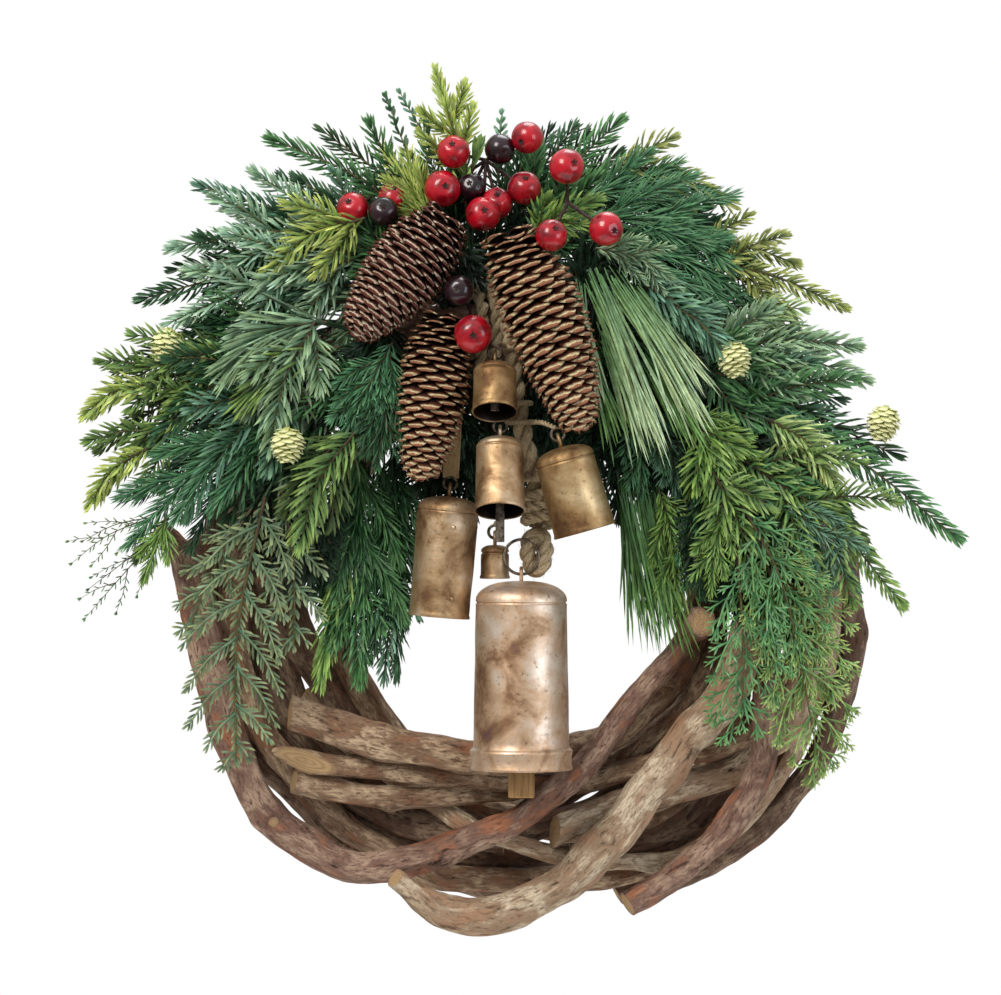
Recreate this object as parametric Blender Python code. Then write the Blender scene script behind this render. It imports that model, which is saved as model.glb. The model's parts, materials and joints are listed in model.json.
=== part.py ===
"""A door wreath: a ring woven from thirteen rattan vines, dressed with evergreen boughs, spruce cones, berry
picks and pale hop buds, with six tin bells hung from a jute rope that is drawn round the top of the ring.

Sizes are in millimetres. X runs right, +Y runs back to the door, Z runs up. Places are measured from the
middle of the ring; the empty that carries every piece puts the door hook at the world's origin.
"""

import math

import bmesh
import bpy
import numpy as np
from mathutils import Matrix, Vector
from mathutils.bvhtree import BVHTree

MM = 0.001

# Driving dimensions, in millimetres.
RING_OUTER_RADIUS = 170.0
RING_INNER_RADIUS = 88.0
HOOK_HEIGHT = 128.0  # the hook's seat, above the middle of the ring
HOOK_DEPTH = -9.0
SEAT_GAP = 0.35  # the clearance that touching pieces keep
VINE_SIDES_RESOLUTION = 2  # eight sides
VINE_STATION = 23.0  # spacing of a vine's rings of points
DRAPE_STATION = 6.0

ROPE_RADIUS = 4.6
TWINE_RADIUS = 1.3
BELL_WALL = 1.2


# ---------------------------------------------------------------- finishes


def finish(name, colour, roughness, metallic=0.0):
    """A Principled material."""
    material = bpy.data.materials.new(name)
    material.use_nodes = True
    shader = material.node_tree.nodes["Principled BSDF"]
    shader.inputs["Base Color"].default_value = (*colour, 1.0)
    shader.inputs["Roughness"].default_value = roughness
    shader.inputs["Metallic"].default_value = metallic
    return material


def finishes():
    """One material for each sort of piece."""
    return {
        "vine": finish("vine_bark", (0.19, 0.12, 0.075), 0.85),
        "bough": finish("evergreen", (0.035, 0.12, 0.05), 0.6),
        "cone": finish("spruce_cone", (0.20, 0.10, 0.055), 0.8),
        "berry": finish("lacquered_berry", (0.60, 0.01, 0.02), 0.25),
        "bud": finish("hop_bud", (0.62, 0.62, 0.30), 0.7),
        "bell": finish("aged_brass", (0.45, 0.31, 0.17), 0.4, 1.0),
        "wood": finish("clapper_wood", (0.38, 0.26, 0.14), 0.7),
        "jute": finish("jute", (0.42, 0.32, 0.18), 0.9),
        "wire": finish("iron_wire", (0.30, 0.27, 0.24), 0.45, 1.0),
    }


# ---------------------------------------------------------------- meshes and objects


def spot(x, y, z):
    """A point given in millimetres, in metres."""
    return Vector((x, y, z)) * MM


def place(name, data, material, carrier, location=(0.0, 0.0, 0.0), turn=None):
    """Puts a mesh or curve in the scene under its carrier, at a location in millimetres."""
    obj = bpy.data.objects.new(name, data)
    bpy.context.scene.collection.objects.link(obj)
    obj.parent = carrier
    obj.location = spot(*location)
    if turn is not None:
        obj.rotation_euler = turn
    if material is not None:
        data.materials.append(material)
    return obj


def mesh_from(name, bm):
    """Closes off a bmesh as a mesh whose faces point out."""
    bmesh.ops.remove_doubles(bm, verts=bm.verts, dist=0.00001)
    bmesh.ops.recalc_face_normals(bm, faces=bm.faces)
    mesh = bpy.data.meshes.new(name)
    bm.to_mesh(mesh)
    bm.free()
    mesh.shade_smooth()
    mesh.set_sharp_from_angle(angle=math.radians(50))
    return mesh


def turned(name, profile, segments):
    """A closed turned shape. The profile is (radius, height) in millimetres and starts and ends on the axis."""
    bm = bmesh.new()
    verts = [bm.verts.new(spot(radius, 0, height)) for radius, height in profile]
    edges = [bm.edges.new(pair) for pair in zip(verts, verts[1:])]
    bmesh.ops.spin(
        bm, geom=verts + edges, cent=(0, 0, 0), axis=(0, 0, 1), angle=math.tau, steps=segments, use_merge=True
    )
    return mesh_from(name, bm)


def tube(name, points, radii, resolution=VINE_SIDES_RESOLUTION):
    """A capped round tube along points in millimetres, as a bevelled curve."""
    curve = bpy.data.curves.new(name, "CURVE")
    curve.dimensions = "3D"
    curve.bevel_depth = MM
    curve.bevel_resolution = resolution
    curve.use_fill_caps = True
    spline = curve.splines.new("POLY")
    spline.points.add(len(points) - 1)
    for point, where, radius in zip(spline.points, points, radii):
        point.co = (*spot(*where), 1.0)
        point.radius = radius
    return curve


def joined(name, first, others, material, carrier, location=(0.0, 0.0, 0.0), turn=None):
    """One closed mesh: the union of a mesh or curve with others, all drawn in the same space."""
    helpers = []
    for number, data in enumerate([first, *others]):
        helper = bpy.data.objects.new(f"{name}_helper{number}", data)
        bpy.context.scene.collection.objects.link(helper)
        helpers.append(helper)
    graph = bpy.context.evaluated_depsgraph_get()
    for helper in helpers:
        if helper.type == "CURVE":
            solid = bpy.data.meshes.new_from_object(helper.evaluated_get(graph))
            replaced = bpy.data.objects.new(helper.name + "_mesh", solid)
            bpy.context.scene.collection.objects.link(replaced)
            helpers[helpers.index(helper)] = replaced
            bpy.data.objects.remove(helper)
    for helper in helpers:
        weld(helper.data)
    for operand in helpers[1:]:
        union = helpers[0].modifiers.new("join", "BOOLEAN")
        union.operation = "UNION"
        union.solver = "EXACT"
        union.object = operand
    graph = bpy.context.evaluated_depsgraph_get()
    mesh = bpy.data.meshes.new_from_object(helpers[0].evaluated_get(graph))
    mesh.materials.clear()
    for helper in helpers:
        bpy.data.objects.remove(helper)
    return place(name, mesh, material, carrier, location, turn)


def weld(mesh):
    """Merges a curve's caps to its sides."""
    bm = bmesh.new()
    bm.from_mesh(mesh)
    bmesh.ops.remove_doubles(bm, verts=bm.verts, dist=0.00001)
    bmesh.ops.recalc_face_normals(bm, faces=bm.faces)
    bm.to_mesh(mesh)
    bm.free()


# ---------------------------------------------------------------- seating one piece on another


def surface(obj, spacing=2.5):
    """A piece's triangles and close-set points on them, in the carrier's space, in millimetres."""
    graph = bpy.context.evaluated_depsgraph_get()
    evaluated = obj.evaluated_get(graph)
    mesh = evaluated.to_mesh()
    mesh.calc_loop_triangles()
    corners = [obj.matrix_basis @ v.co / MM for v in mesh.vertices]
    faces = [tuple(t.vertices) for t in mesh.loop_triangles]
    evaluated.to_mesh_clear()
    samples = list(corners)
    for face in faces:
        a, b, c = (corners[i] for i in face)
        for start, end in ((a, b), (b, c), (c, a)):
            cuts = int((end - start).length / spacing)
            samples += [start.lerp(end, (k + 1) / (cuts + 1)) for k in range(cuts)]
    return corners, faces, samples


class Pile:
    """The pieces laid so far, for finding how far a new one can move before it meets them."""

    def __init__(self):
        self.trees = []
        self.samples = []

    def add(self, obj):
        """Counts a piece among those laid."""
        corners, faces, samples = surface(obj)
        self.trees.append(BVHTree.FromPolygons(corners, faces))
        self.samples += samples

    def front(self, x, z, radius):
        """How far forward the pile reaches within a radius of a place seen from the front."""
        spread = [(0, 0)] + [(radius * math.cos(a), radius * math.sin(a)) for a in np.linspace(0, math.tau, 9)]
        starts = [Vector((x + dx, -300.0, z + dz)) for dx, dz in spread]
        hits = [tree.ray_cast(start, Vector((0, 1, 0))) for tree in self.trees for start in starts]
        return min(hit[0].y for hit in hits if hit[0] is not None)

    def seat(self, obj, towards=Vector((0, 1, 0)), start=160.0):
        """Backs a piece off, brings it towards the pile until it is SEAT_GAP away, and adds it to the pile."""
        corners, faces, samples = surface(obj)
        away = towards * -start
        own = BVHTree.FromPolygons([c + away for c in corners], faces)
        reach = [tree.ray_cast(s + away, towards) for tree in self.trees for s in samples]
        reach += [own.ray_cast(s, -towards) for s in self.samples]
        met = [hit[3] for hit in reach if hit[0] is not None]
        if met:
            obj.location += (away + towards * (min(met) - SEAT_GAP)) * MM
        self.add(obj)
        return obj


def through(pairs, count):
    """Evenly spaced values along a smooth curve through (position, value) pairs."""
    at = np.array([p for p, _ in pairs], float)
    value = np.array([v for _, v in pairs], float)
    slope = np.gradient(value, at)
    wanted = np.linspace(at[0], at[-1], count)
    k = np.clip(np.searchsorted(at, wanted) - 1, 0, len(at) - 2)
    span = at[k + 1] - at[k]
    t = (wanted - at[k]) / span
    return wanted, (
        (2 * t**3 - 3 * t**2 + 1) * value[k]
        + (t**3 - 2 * t**2 + t) * span * slope[k]
        + (3 * t**2 - 2 * t**3) * value[k + 1]
        + (t**3 - t**2) * span * slope[k + 1]
    )


# ---------------------------------------------------------------- the ring of vines

# name, thickness at the butt and at the tip, and the way it runs: (angle in degrees, distance from the
# middle). 0 degrees is right, 90 is up, 270 is the bottom. They are laid from the back to the front.
VINES = (
    ("vine_back_outer", 16, 12, (
        (196, 158), (150, 160), (90, 158), (40, 160), (0, 166), (-22, 172), (-50, 171), (-74, 164))),
    ("vine_low_right", 15, 12, (
        (400, 132), (384, 138), (352, 147), (329, 150), (314, 150), (302, 147), (292, 142), (283, 135))),
    ("vine_back_inner", 15, 12, (
        (112, 112), (150, 104), (196, 98), (222, 100), (262, 116), (300, 132), (345, 118), (392, 106), (440, 104))),
    ("vine_back_middle", 16, 12, (
        (70, 140), (112, 134), (160, 138), (205, 140), (240, 136), (280, 118), (325, 108), (370, 124), (408, 142))),
    ("vine_lower_hoop", 16, 9, (
        (140, 144), (184, 149), (210, 151), (227, 152), (254, 152), (272, 149), (300, 157), (335, 158), (375, 150), (420, 134))),
    ("vine_thin_cross", 9, 8, (
        (205, 126), (240, 118), (258, 123), (274, 133), (290, 147), (305, 160), (325, 160), (350, 146), (385, 128))),
    ("vine_pair_lower", 12, 10, (
        (219, 153), (234, 129), (253, 109), (275, 99), (300, 98), (330, 100), (370, 100), (415, 108), (455, 122),
        (500, 146), (530, 150))),
    ("vine_cut_right", 16, 13, (
        (275, 124), (285, 120), (293, 119), (307, 127), (321, 141), (345, 150), (380, 150), (420, 136), (455, 118),
        (495, 108))),
    ("vine_pair_upper", 11, 10, (
        (213, 153), (219, 139), (230, 118), (251, 101), (268, 98), (290, 104), (308, 110), (327, 132), (360, 142),
        (400, 150), (440, 152), (480, 140), (515, 124))),
    ("vine_butt_left", 18, 13, (
        (207, 136), (216, 119), (225, 107), (236, 97), (251, 89), (272, 83), (300, 86), (334, 86), (380, 92),
        (420, 100), (458, 104), (500, 116), (540, 130))),
    ("vine_red_right", 14, 13, (
        (287, 167), (302, 160), (315, 154), (323, 146), (331, 136), (345, 124), (375, 112), (415, 116), (450, 132),
        (485, 154))),
    ("vine_fork_left", 20, 11, (
        (171, 174), (189, 163), (209, 168), (222, 174), (235, 169), (248, 147), (256, 132), (266, 118), (280, 100),
        (296, 86), (319, 78), (342, 84), (380, 100))),
    ("vine_pale_front", 20, 18, (
        (245, 158), (255, 166), (262, 165), (271, 157), (283, 140), (294, 124), (309, 113), (333, 110), (365, 118),
        (400, 126))),
)


def vine_plan(course, station):
    """A vine's way across the ring seen from the front, as points about a station apart."""
    rough = abs(math.radians(course[-1][0] - course[0][0])) * 0.5 * (RING_OUTER_RADIUS + RING_INNER_RADIUS)
    ordered = course if course[0][0] < course[-1][0] else tuple(reversed(course))
    angle, radius = through(ordered, max(8, round(rough / station)))
    if ordered is not course:
        angle, radius = angle[::-1], radius[::-1]
    angle = np.radians(angle)
    return np.column_stack([radius * np.cos(angle), radius * np.sin(angle)])


def depth_over(plan, thickness, laid):
    """How far forward a vine lies at each point so that it clears the vines laid before it and bends gently."""
    limit = -thickness.copy()
    for where, radius in laid:
        reach = thickness[:, None] + radius[None, :] + SEAT_GAP
        apart = np.hypot(plan[:, None, 0] - where[None, :, 0], plan[:, None, 1] - where[None, :, 2])
        over = where[None, :, 1] - np.sqrt(np.maximum(reach**2 - apart**2, 0))
        limit = np.minimum(limit, np.where(apart < reach, over, 0).min(axis=1))
    kernel = np.exp(-np.linspace(-2, 2, 9) ** 2)
    kernel /= kernel.sum()
    depth = limit.copy()
    for _ in range(40):
        padded = np.pad(depth, 4, mode="edge")
        depth = np.minimum(limit, np.convolve(padded, kernel, mode="valid"))
    return np.convolve(np.pad(depth, 4, mode="edge"), kernel, mode="valid")


def lay_vines(pile, carrier, bark):
    """Lays the vines one over another, from the back."""
    laid = []
    for name, butt, tip, course in VINES:
        plan = vine_plan(course, DRAPE_STATION)
        thickness = np.linspace(butt, tip, len(plan)) / 2
        depth = depth_over(plan, thickness, laid)
        line = np.column_stack([plan[:, 0], depth, plan[:, 1]])
        picked = np.linspace(0, len(line) - 1, max(6, round(len(line) * DRAPE_STATION / VINE_STATION))).round().astype(int)
        vine = place(name, tube(name, line[picked], thickness[picked]), bark, carrier)
        if laid:
            pile.seat(vine)
        else:
            pile.add(vine)
        line[:, 1] += vine.location.y / MM
        laid.append((line, thickness))
    return laid


# ---------------------------------------------------------------- rope, knot, wire ring and bells

WRAP_RADIUS = 3.2
WRAP_START = -27.0  # where the wrap starts, left of the middle
WRAP_PITCH = 7.2
WRAP_TURNS = 2.5
WRAP_SLACK = 0.8
WRAP_STEPS = 16

ROPE_TOP = (-8.5, 158.0)
ROPE_DEPTH = -76.0
ROPE_NESTLE = 3.4  # how far the rope lies in between the wrap's turns
ROPE_ROUTE = (
    (-8.0, -75.4, 127.0), (-7.2, ROPE_DEPTH, 116.0), (-5.4, ROPE_DEPTH, 100.0), (-2.4, ROPE_DEPTH, 82.0),
    (1.4, ROPE_DEPTH, 65.0), (4.6, ROPE_DEPTH, 52.0),
)
KNOT_TOP = (5.0, ROPE_DEPTH, 42.5)
KNOT_MIDDLE = (5.0, ROPE_DEPTH, 17.5)
LOBE_RADII = (5.4, 6.6, 12.0)
LOBE_SPREAD = 3.6
LOBE_LEAN = 12  # degrees
COLLAR_PROFILE = ((0, 42.2), (4.6, 42.2), (7.0, 40.0), (7.0, 30.0), (5.5, 24.0), (0, 24.0))
WIRE_RING_RADIUS = 8.6
LINK_RADIUS = 3.2
LINK_WIRE = 0.8
EYE_WIRE = 0.9
EYE_RADIUS = LINK_WIRE + SEAT_GAP + EYE_WIRE
BALL_RADIUS = 1.3


class Bell:
    """One tin bell: its eye's place, its lean to the side and towards the viewer, and its sizes."""

    def __init__(self, name, eye, lean, pitch, length, radius, waist, clapper, rattle):
        self.name = name
        self.eye = eye
        self.turn = (math.radians(-pitch), math.radians(-lean), 0.0)
        self.length = length
        self.radius = radius
        self.waist = waist
        self.clapper = clapper
        self.droop = math.radians(min(pitch, rattle))


# lean is in degrees to the right at the mouth, pitch is towards the viewer at the mouth.
# clapper is the bob's width, its height, how far it hangs below the mouth, and its depth. rattle is how many
# degrees the clapper swings before it meets the wall: in a tipped bell it hangs back against the wall.
BELLS = (
    Bell("bell_big", (-2.5, ROPE_DEPTH - 4.5, 7.9), 0.0, 0.0, 94.0, 25.3, 22.6, (13.0, 30.0, 14.0, 7.0), 12),
    Bell("bell_left", (-37.8, -74.0, 49.5), -4.8, 0.0, 61.0, 15.2, 14.2, (8.0, 18.0, -4.0, 5.0), 10),
    Bell("bell_right", (16.0, -97.5, 73.5), 15.8, 0.0, 44.0, 15.6, 14.6, (8.0, 14.0, -4.0, 5.0), 16),
    Bell("bell_middle", (-13.0, -92.0, 77.5), 0.0, 20.0, 39.0, 12.6, 11.6, (4.4, 24.0, 13.0, 3.0), 13),
    Bell("bell_upper", (-15.5, -94.0, 113.5), 0.0, 25.0, 27.0, 11.4, 10.4, (4.4, 8.0, -3.0, 3.0), 20),
    Bell("bell_back", (-15.5, -64.0, 25.5), 0.0, 0.0, 18.0, 7.6, 7.0, (3.6, 6.0, -2.0, 3.0), 18),
)


# where each bell's twine is tied round the rope, and the way that it leaves the rope
TIES = {
    "bell_right": ((-2.6, ROPE_DEPTH, 83.0), (1, -0.3, 0)),
    "bell_middle": ((-4.1, ROPE_DEPTH, 92.5), (-0.3, -1, 0)),
    "bell_upper": ((-7.3, ROPE_DEPTH, 116.5), (-1, -0.6, 0)),
    "bell_back": ((3.8, ROPE_DEPTH, 55.0), (-1, 0.2, 0)),
}


def torus(name, centre, across, up, radius, wire, steps=10, sides=5):
    """A wire ring of a given radius in the plane of two unit vectors."""
    bm = bmesh.new()
    start = bmesh.ops.create_circle(bm, segments=sides, radius=wire * MM)
    across = Vector(across)
    up = Vector(up)
    axis = across.cross(up)
    frame = Matrix((across, axis, up)).transposed().to_4x4()
    bmesh.ops.rotate(bm, verts=start["verts"], cent=(0, 0, 0), matrix=Matrix.Rotation(math.pi / 2, 3, "X"))
    bmesh.ops.translate(bm, verts=start["verts"], vec=(radius * MM, 0, 0))
    bmesh.ops.spin(
        bm, geom=bm.verts[:] + bm.edges[:], cent=(0, 0, 0), axis=(0, 0, 1), angle=math.tau, steps=steps, use_merge=True
    )
    bmesh.ops.rotate(bm, verts=bm.verts, cent=(0, 0, 0), matrix=Matrix.Rotation(math.pi / 2, 3, "X"))
    bmesh.ops.transform(bm, verts=bm.verts, matrix=frame)
    bmesh.ops.translate(bm, verts=bm.verts, vec=spot(*centre))
    return mesh_from(name, bm)


def shell(bell, segments):
    """A bell's wall: a domed crown, a shoulder, a nearly straight side and an open mouth with a rolled rim."""
    top = -EYE_RADIUS
    wall = BELL_WALL
    waist = bell.waist
    shoulder = 0.42 * waist
    foot = top - bell.length
    outer = [(0, top)]
    outer += [
        (waist * math.sin(a) ** 0.8, top - shoulder * (1 - math.cos(a)))
        for a in (math.radians(d) for d in (32, 62, 90))
    ]
    outer += [(bell.radius - 1.6, foot + 10.5), (bell.radius, foot + 9.0), (bell.radius, foot)]
    inner = [(bell.radius - wall, foot), (bell.radius - 1.6 - wall, foot + 10.0)]
    inner += [
        ((waist - wall) * math.sin(a) ** 0.8, top - wall - (shoulder - wall) * (1 - math.cos(a)))
        for a in (math.radians(d) for d in (90, 50))
    ]
    inner += [(0, top - wall)]
    return turned(bell.name, outer + inner, segments)


def block(name, size, centre):
    """A box with eased edges."""
    bm = bmesh.new()
    bmesh.ops.create_cube(bm, size=1.0)
    bmesh.ops.scale(bm, vec=spot(*size), verts=bm.verts)
    bmesh.ops.bevel(
        bm, geom=bm.edges[:], offset=0.1 * min(size) * MM, segments=1, profile=0.5, affect="EDGES", material=-1
    )
    bmesh.ops.translate(bm, verts=bm.verts, vec=spot(*centre))
    return mesh_from(name, bm)


def hang_bell(bell, carrier, look):
    """A bell on its eye, with the clapper that swings inside it. Both origins are on their hinge axes."""
    segments = 20 if bell.radius > 20 else 14
    eye = torus(bell.name + "_eye", (0, 0, 0), (0, 1, 0), (0, 0, 1), EYE_RADIUS, EYE_WIRE, steps=8)
    hung = joined(bell.name, shell(bell, segments), [eye], look["bell"], carrier, bell.eye, bell.turn)
    pivot = -EYE_RADIUS - BELL_WALL - SEAT_GAP - BALL_RADIUS
    width, height, below, depth = bell.clapper
    foot = -EYE_RADIUS - bell.length - below - pivot
    ball = [(BALL_RADIUS * math.sin(a), BALL_RADIUS * math.cos(a)) for a in (0.0, 0.8, 1.6, 2.4)]
    rod = turned(bell.name + "_rod", ball + [(0.8, -1.3), (0.8, foot + 0.6 * height), (0, foot + 0.6 * height)], 8)
    bob = block(bell.name + "_bob", (width, depth, height), (0, 0, foot + height / 2))
    wood = look["wood"] if width > 6 else look["wire"]
    name = bell.name.replace("bell", "clapper")
    clapper = joined(name, rod, [bob], wood, hung, (0, 0, pivot), (bell.droop, 0, 0))
    return hung, clapper


def tie(name, bell, anchor, way, look, carrier):
    """A bell's hanger: a loop round the rope at an anchor, a length of twine, and the link its eye hangs in."""
    eye = Vector(bell.eye)
    up = Matrix.Rotation(bell.turn[1], 3, "Y") @ Vector((0, 0, 1))
    across = Matrix.Rotation(bell.turn[1], 3, "Y") @ Vector((1, 0, 0))
    link = torus(name + "_link", eye + up * LINK_RADIUS, across, up, LINK_RADIUS, LINK_WIRE)
    reach = ROPE_RADIUS + SEAT_GAP + TWINE_RADIUS + 0.3
    loop = torus(name + "_loop", anchor, (1, 0, 0), (0, 1, 0), reach, TWINE_RADIUS)
    first = eye + up * (2 * LINK_RADIUS)
    start = Vector(anchor) + Vector(way).normalized() * reach
    route = [first, first.lerp(start, 0.5) + Vector((0, 0, 1.5)), start]
    twine = tube(name + "_twine", route, [TWINE_RADIUS] * 3, 1)
    return joined(name, link, [twine, loop], look["jute"], carrier)


def girdle(samples, radius):
    """The way round everything near the wrap, as turns that advance along X."""
    low = WRAP_START - radius
    high = WRAP_START + WRAP_PITCH * WRAP_TURNS + radius
    near = np.array([(s.y, s.z) for s in samples if low - 1 < s.x < high + 1 and s.z > 60])
    route = []
    for k in range(int(WRAP_TURNS * WRAP_STEPS) + 1):
        angle = math.tau * k / WRAP_STEPS - 0.5 * math.pi
        way = np.array([math.cos(angle), math.sin(angle)])
        y, z = near[np.argmax(near @ way)] + (radius + WRAP_SLACK) * way
        route.append((WRAP_START + WRAP_PITCH * k / WRAP_STEPS, y, z))
    return route


def hang_rope(pile, carrier, look):
    """The wrap round the ring's top, the rope down its front, the knot, and the wire ring in the knot."""
    route = girdle(pile.samples, WRAP_RADIUS)
    wrap = place("rope_wrap", tube("rope_wrap", route, [WRAP_RADIUS] * len(route)), look["jute"], carrier)
    pile.add(wrap)
    x, z = ROPE_TOP
    front = min(pile.front(x, z - down, ROPE_RADIUS) for down in (0, 6, 12, 18))
    front += ROPE_NESTLE - ROPE_RADIUS - SEAT_GAP
    route = [(x, front, z), (x, front, z - 14), *ROPE_ROUTE, KNOT_TOP]
    rope = place("bell_rope", tube("bell_rope", route, [ROPE_RADIUS] * len(route)), look["jute"], carrier)
    pile.add(rope)
    x, y, z = KNOT_MIDDLE
    lobes = [
        lobe(f"lobe{side}", (x + LOBE_SPREAD * side, y, z), LOBE_RADII, LOBE_LEAN * side) for side in (-1, 1)
    ]
    collar = turned("collar", COLLAR_PROFILE, 12)
    collar.transform(Matrix.Translation(spot(x, y, 0)))
    knot = joined("rope_knot", collar, lobes, look["jute"], carrier)
    big = BELLS[0]
    centre = (big.eye[0], big.eye[1], big.eye[2] + WIRE_RING_RADIUS)
    channel = bpy.data.objects.new("channel", torus("channel", centre, (1, 0, 0), (0, 0, 1), WIRE_RING_RADIUS,
                                                    LINK_WIRE + 1.4 * SEAT_GAP, steps=20, sides=6))
    bpy.context.scene.collection.objects.link(channel)
    channel.parent = carrier
    channel.hide_render = True
    channel.display_type = "WIRE"
    cut = knot.modifiers.new("ring_channel", "BOOLEAN")
    cut.operation = "DIFFERENCE"
    cut.solver = "EXACT"
    cut.object = channel
    pile.add(knot)
    ring = torus("wire_ring", centre, (1, 0, 0), (0, 0, 1), WIRE_RING_RADIUS, LINK_WIRE, steps=20)
    pile.add(place("wire_ring", ring, look["wire"], carrier))


def lobe(name, centre, radii, lean):
    """One fold of the knot."""
    bm = bmesh.new()
    bmesh.ops.create_uvsphere(bm, u_segments=8, v_segments=6, radius=1.0)
    bmesh.ops.scale(bm, vec=spot(*radii), verts=bm.verts)
    bmesh.ops.rotate(bm, verts=bm.verts, cent=(0, 0, 0), matrix=Matrix.Rotation(math.radians(lean), 3, "Y"))
    bmesh.ops.translate(bm, verts=bm.verts, vec=spot(*centre))
    return mesh_from(name, bm)


STRIP_WIDTH = 8.0
STRIP_THICKNESS = 1.2
STRIP_TOP = (-34.0, 104.0)
STRIP_NAILED = 7.0  # how much of it lies flat on the vine


def hang_strip(pile, carrier, look):
    """The pale cane strip that carries the left bell: nailed flat on a vine, with a link at its foot."""
    bell = BELLS[1]
    eye = Vector(bell.eye)
    up = Matrix.Rotation(bell.turn[1], 3, "Y") @ Vector((0, 0, 1))
    across = Matrix.Rotation(bell.turn[1], 3, "Y") @ Vector((1, 0, 0))
    link = torus("strip_link", eye + up * LINK_RADIUS, across, up, LINK_RADIUS, LINK_WIRE)
    x, z = STRIP_TOP
    across_top = np.linspace(-0.5, 0.5, 5) * STRIP_WIDTH
    depth = min(pile.front(x + dx, z + dz, 0.1) for dx in across_top for dz in np.linspace(0, STRIP_NAILED, 4))
    foot = eye + up * (2 * LINK_RADIUS - 0.5)
    head = Vector((x, depth - SEAT_GAP - 0.5 * STRIP_THICKNESS, z))
    middle = Vector((foot.lerp(head, 0.5).x, foot.y, foot.lerp(head, 0.5).z))
    bm = bmesh.new()
    ends = []
    for centre in (foot, middle, head, head + Vector((0, 0, STRIP_NAILED))):
        circle = bmesh.ops.create_circle(bm, segments=4, radius=1.0)["verts"]
        corners = ((-1, -1), (1, -1), (1, 1), (-1, 1))
        for vert, (right, back) in zip(circle, corners):
            vert.co = (centre + Vector((right * 0.5 * STRIP_WIDTH, back * 0.5 * STRIP_THICKNESS, 0))) * MM
        ends.append(circle)
    for lower, upper in zip(ends, ends[1:]):
        edges = [e for e in bm.edges if all(v in lower for v in e.verts) or all(v in upper for v in e.verts)]
        bmesh.ops.bridge_loops(bm, edges=edges)
    bm.faces.new(ends[0])
    bm.faces.new(ends[-1])
    strip = mesh_from("strip", bm)
    pile.add(joined("cane_strip", strip, [link], look["vine"], carrier))


# ---------------------------------------------------------------- boughs, cones, buds and berries

# name, foot (x, z), tips ((x, z, width), ...), sag, and how far the tips lean back. From the back forward.
BOUGHS = (
    ("spruce_upper_left", (-38, 140), ((-131, 227, 30), (-166, 202, 26)), -4, 16),
    ("spruce_upper_right", (10, 140), ((58, 230, 30), (26, 222, 20)), -4, 16),
    ("yellow_fir_top", (-26, 146), ((-46, 263, 24), (-70, 246, 14)), 0, 14),
    ("teal_spruce_left", (-56, 132), ((-180, 170, 30), (-181, 131, 26)), 4, 18),
    ("emerald_spray_right", (26, 136), ((118, 206, 24), (160, 144, 30)), 4, 18),
    ("yellow_spray_left", (-76, 118), ((-223, 88, 28), (-222, 40, 24)), 8, 20),
    ("fir_far_right", (52, 124), ((172, 108, 30), (219, 26, 28)), 10, 18),
    ("dark_fir_left", (-90, 106), ((-170, 34, 30), (-200, 24, 22)), 10, 12),
    ("green_fir_right", (66, 108), ((187, -6, 26), (121, 54, 30)), 10, 12),
    ("thuja_frond_left", (-104, 96), ((-145, -80, 34),), 4, 6),
    ("cedar_spray_right", (84, 92), ((134, -88, 28), (152, -38, 26)), 4, 6),
    ("hanging_fir_left", (-72, 96), ((-84, -50, 22), (-70, -46, 14)), 0, 2),
    ("pine_tuft_right", (60, 98), ((78, -26, 24), (56, -14, 12)), 0, 2),
    ("grey_spruce_left", (-66, 124), ((-125, 62, 30), (-113, 24, 22)), 4, 4),
    ("white_pine_right", (34, 142), ((83, 70, 26), (97, 96, 22)), 4, 4),
)
SHOOTS = 2  # side shoots on each side of a stem
FLATNESS = 0.42


def bough(name, foot, tips, sag, lean):
    """The union of tapered stems and side shoots, flattened, with its tips leaning back towards the door."""
    foot = Vector((foot[0], 0, foot[1]))
    pieces = []
    longest = max((Vector((x, 0, z)) - foot).length for x, z, _ in tips)
    for number, (x, z, width) in enumerate(tips):
        start = foot + Vector((1.3, 1.1, -1.7)) * number
        tip = Vector((x, start.y, z))
        way = (tip - start).normalized()
        rise = Vector((0, 0, sag))

        def along(t):
            return start.lerp(tip, t) + rise * (4 * t * (1 - t))

        line = [along(t) for t in (0, 0.35, 0.72, 1)]
        half = 0.5 * width
        pieces.append(tube(name, line, [0.34 * half, 0.72 * half, 0.6 * half, 0.1 * half], 0))
        for k in range(SHOOTS):
            for side in (-1, 1):
                t = 0.34 + 0.34 * k + 0.07 * side
                aim = Matrix.Rotation(math.radians(36 * side), 3, "Y") @ way
                length = (1.5 - 0.6 * t) * width
                root = along(t) + Vector((0, 0.37 * side + 0.23 * k + 0.11, 0))
                pieces.append(tube(name, [root, root + aim * length], [0.36 * half, 0.07 * half], 0))
    obj = joined(name, pieces[0], pieces[1:], None, None)
    for vert in obj.data.vertices:
        out = min(1.0, math.hypot(vert.co.x - foot.x * MM, vert.co.z - foot.z * MM) / (longest * MM))
        vert.co.y = vert.co.y * FLATNESS + lean * MM * out**2
    return obj


# name, stalk end (x, z), tip (x, z), greatest radius, and its lean towards the viewer in degrees
CONES = (
    ("cone_low", (-41, 137), (-52, 54), 16.6, 4),
    ("cone_right", (-11, 178), (27, 77), 19.0, 2),
    ("cone_left", (-37, 184), (-84, 126), 18.6, 6),
)


CONE_FULLEST = 0.8  # the power that sets how far down a cone is fullest
CONE_BLUNTNESS = 0.38  # the smaller, the blunter its ends


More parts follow.
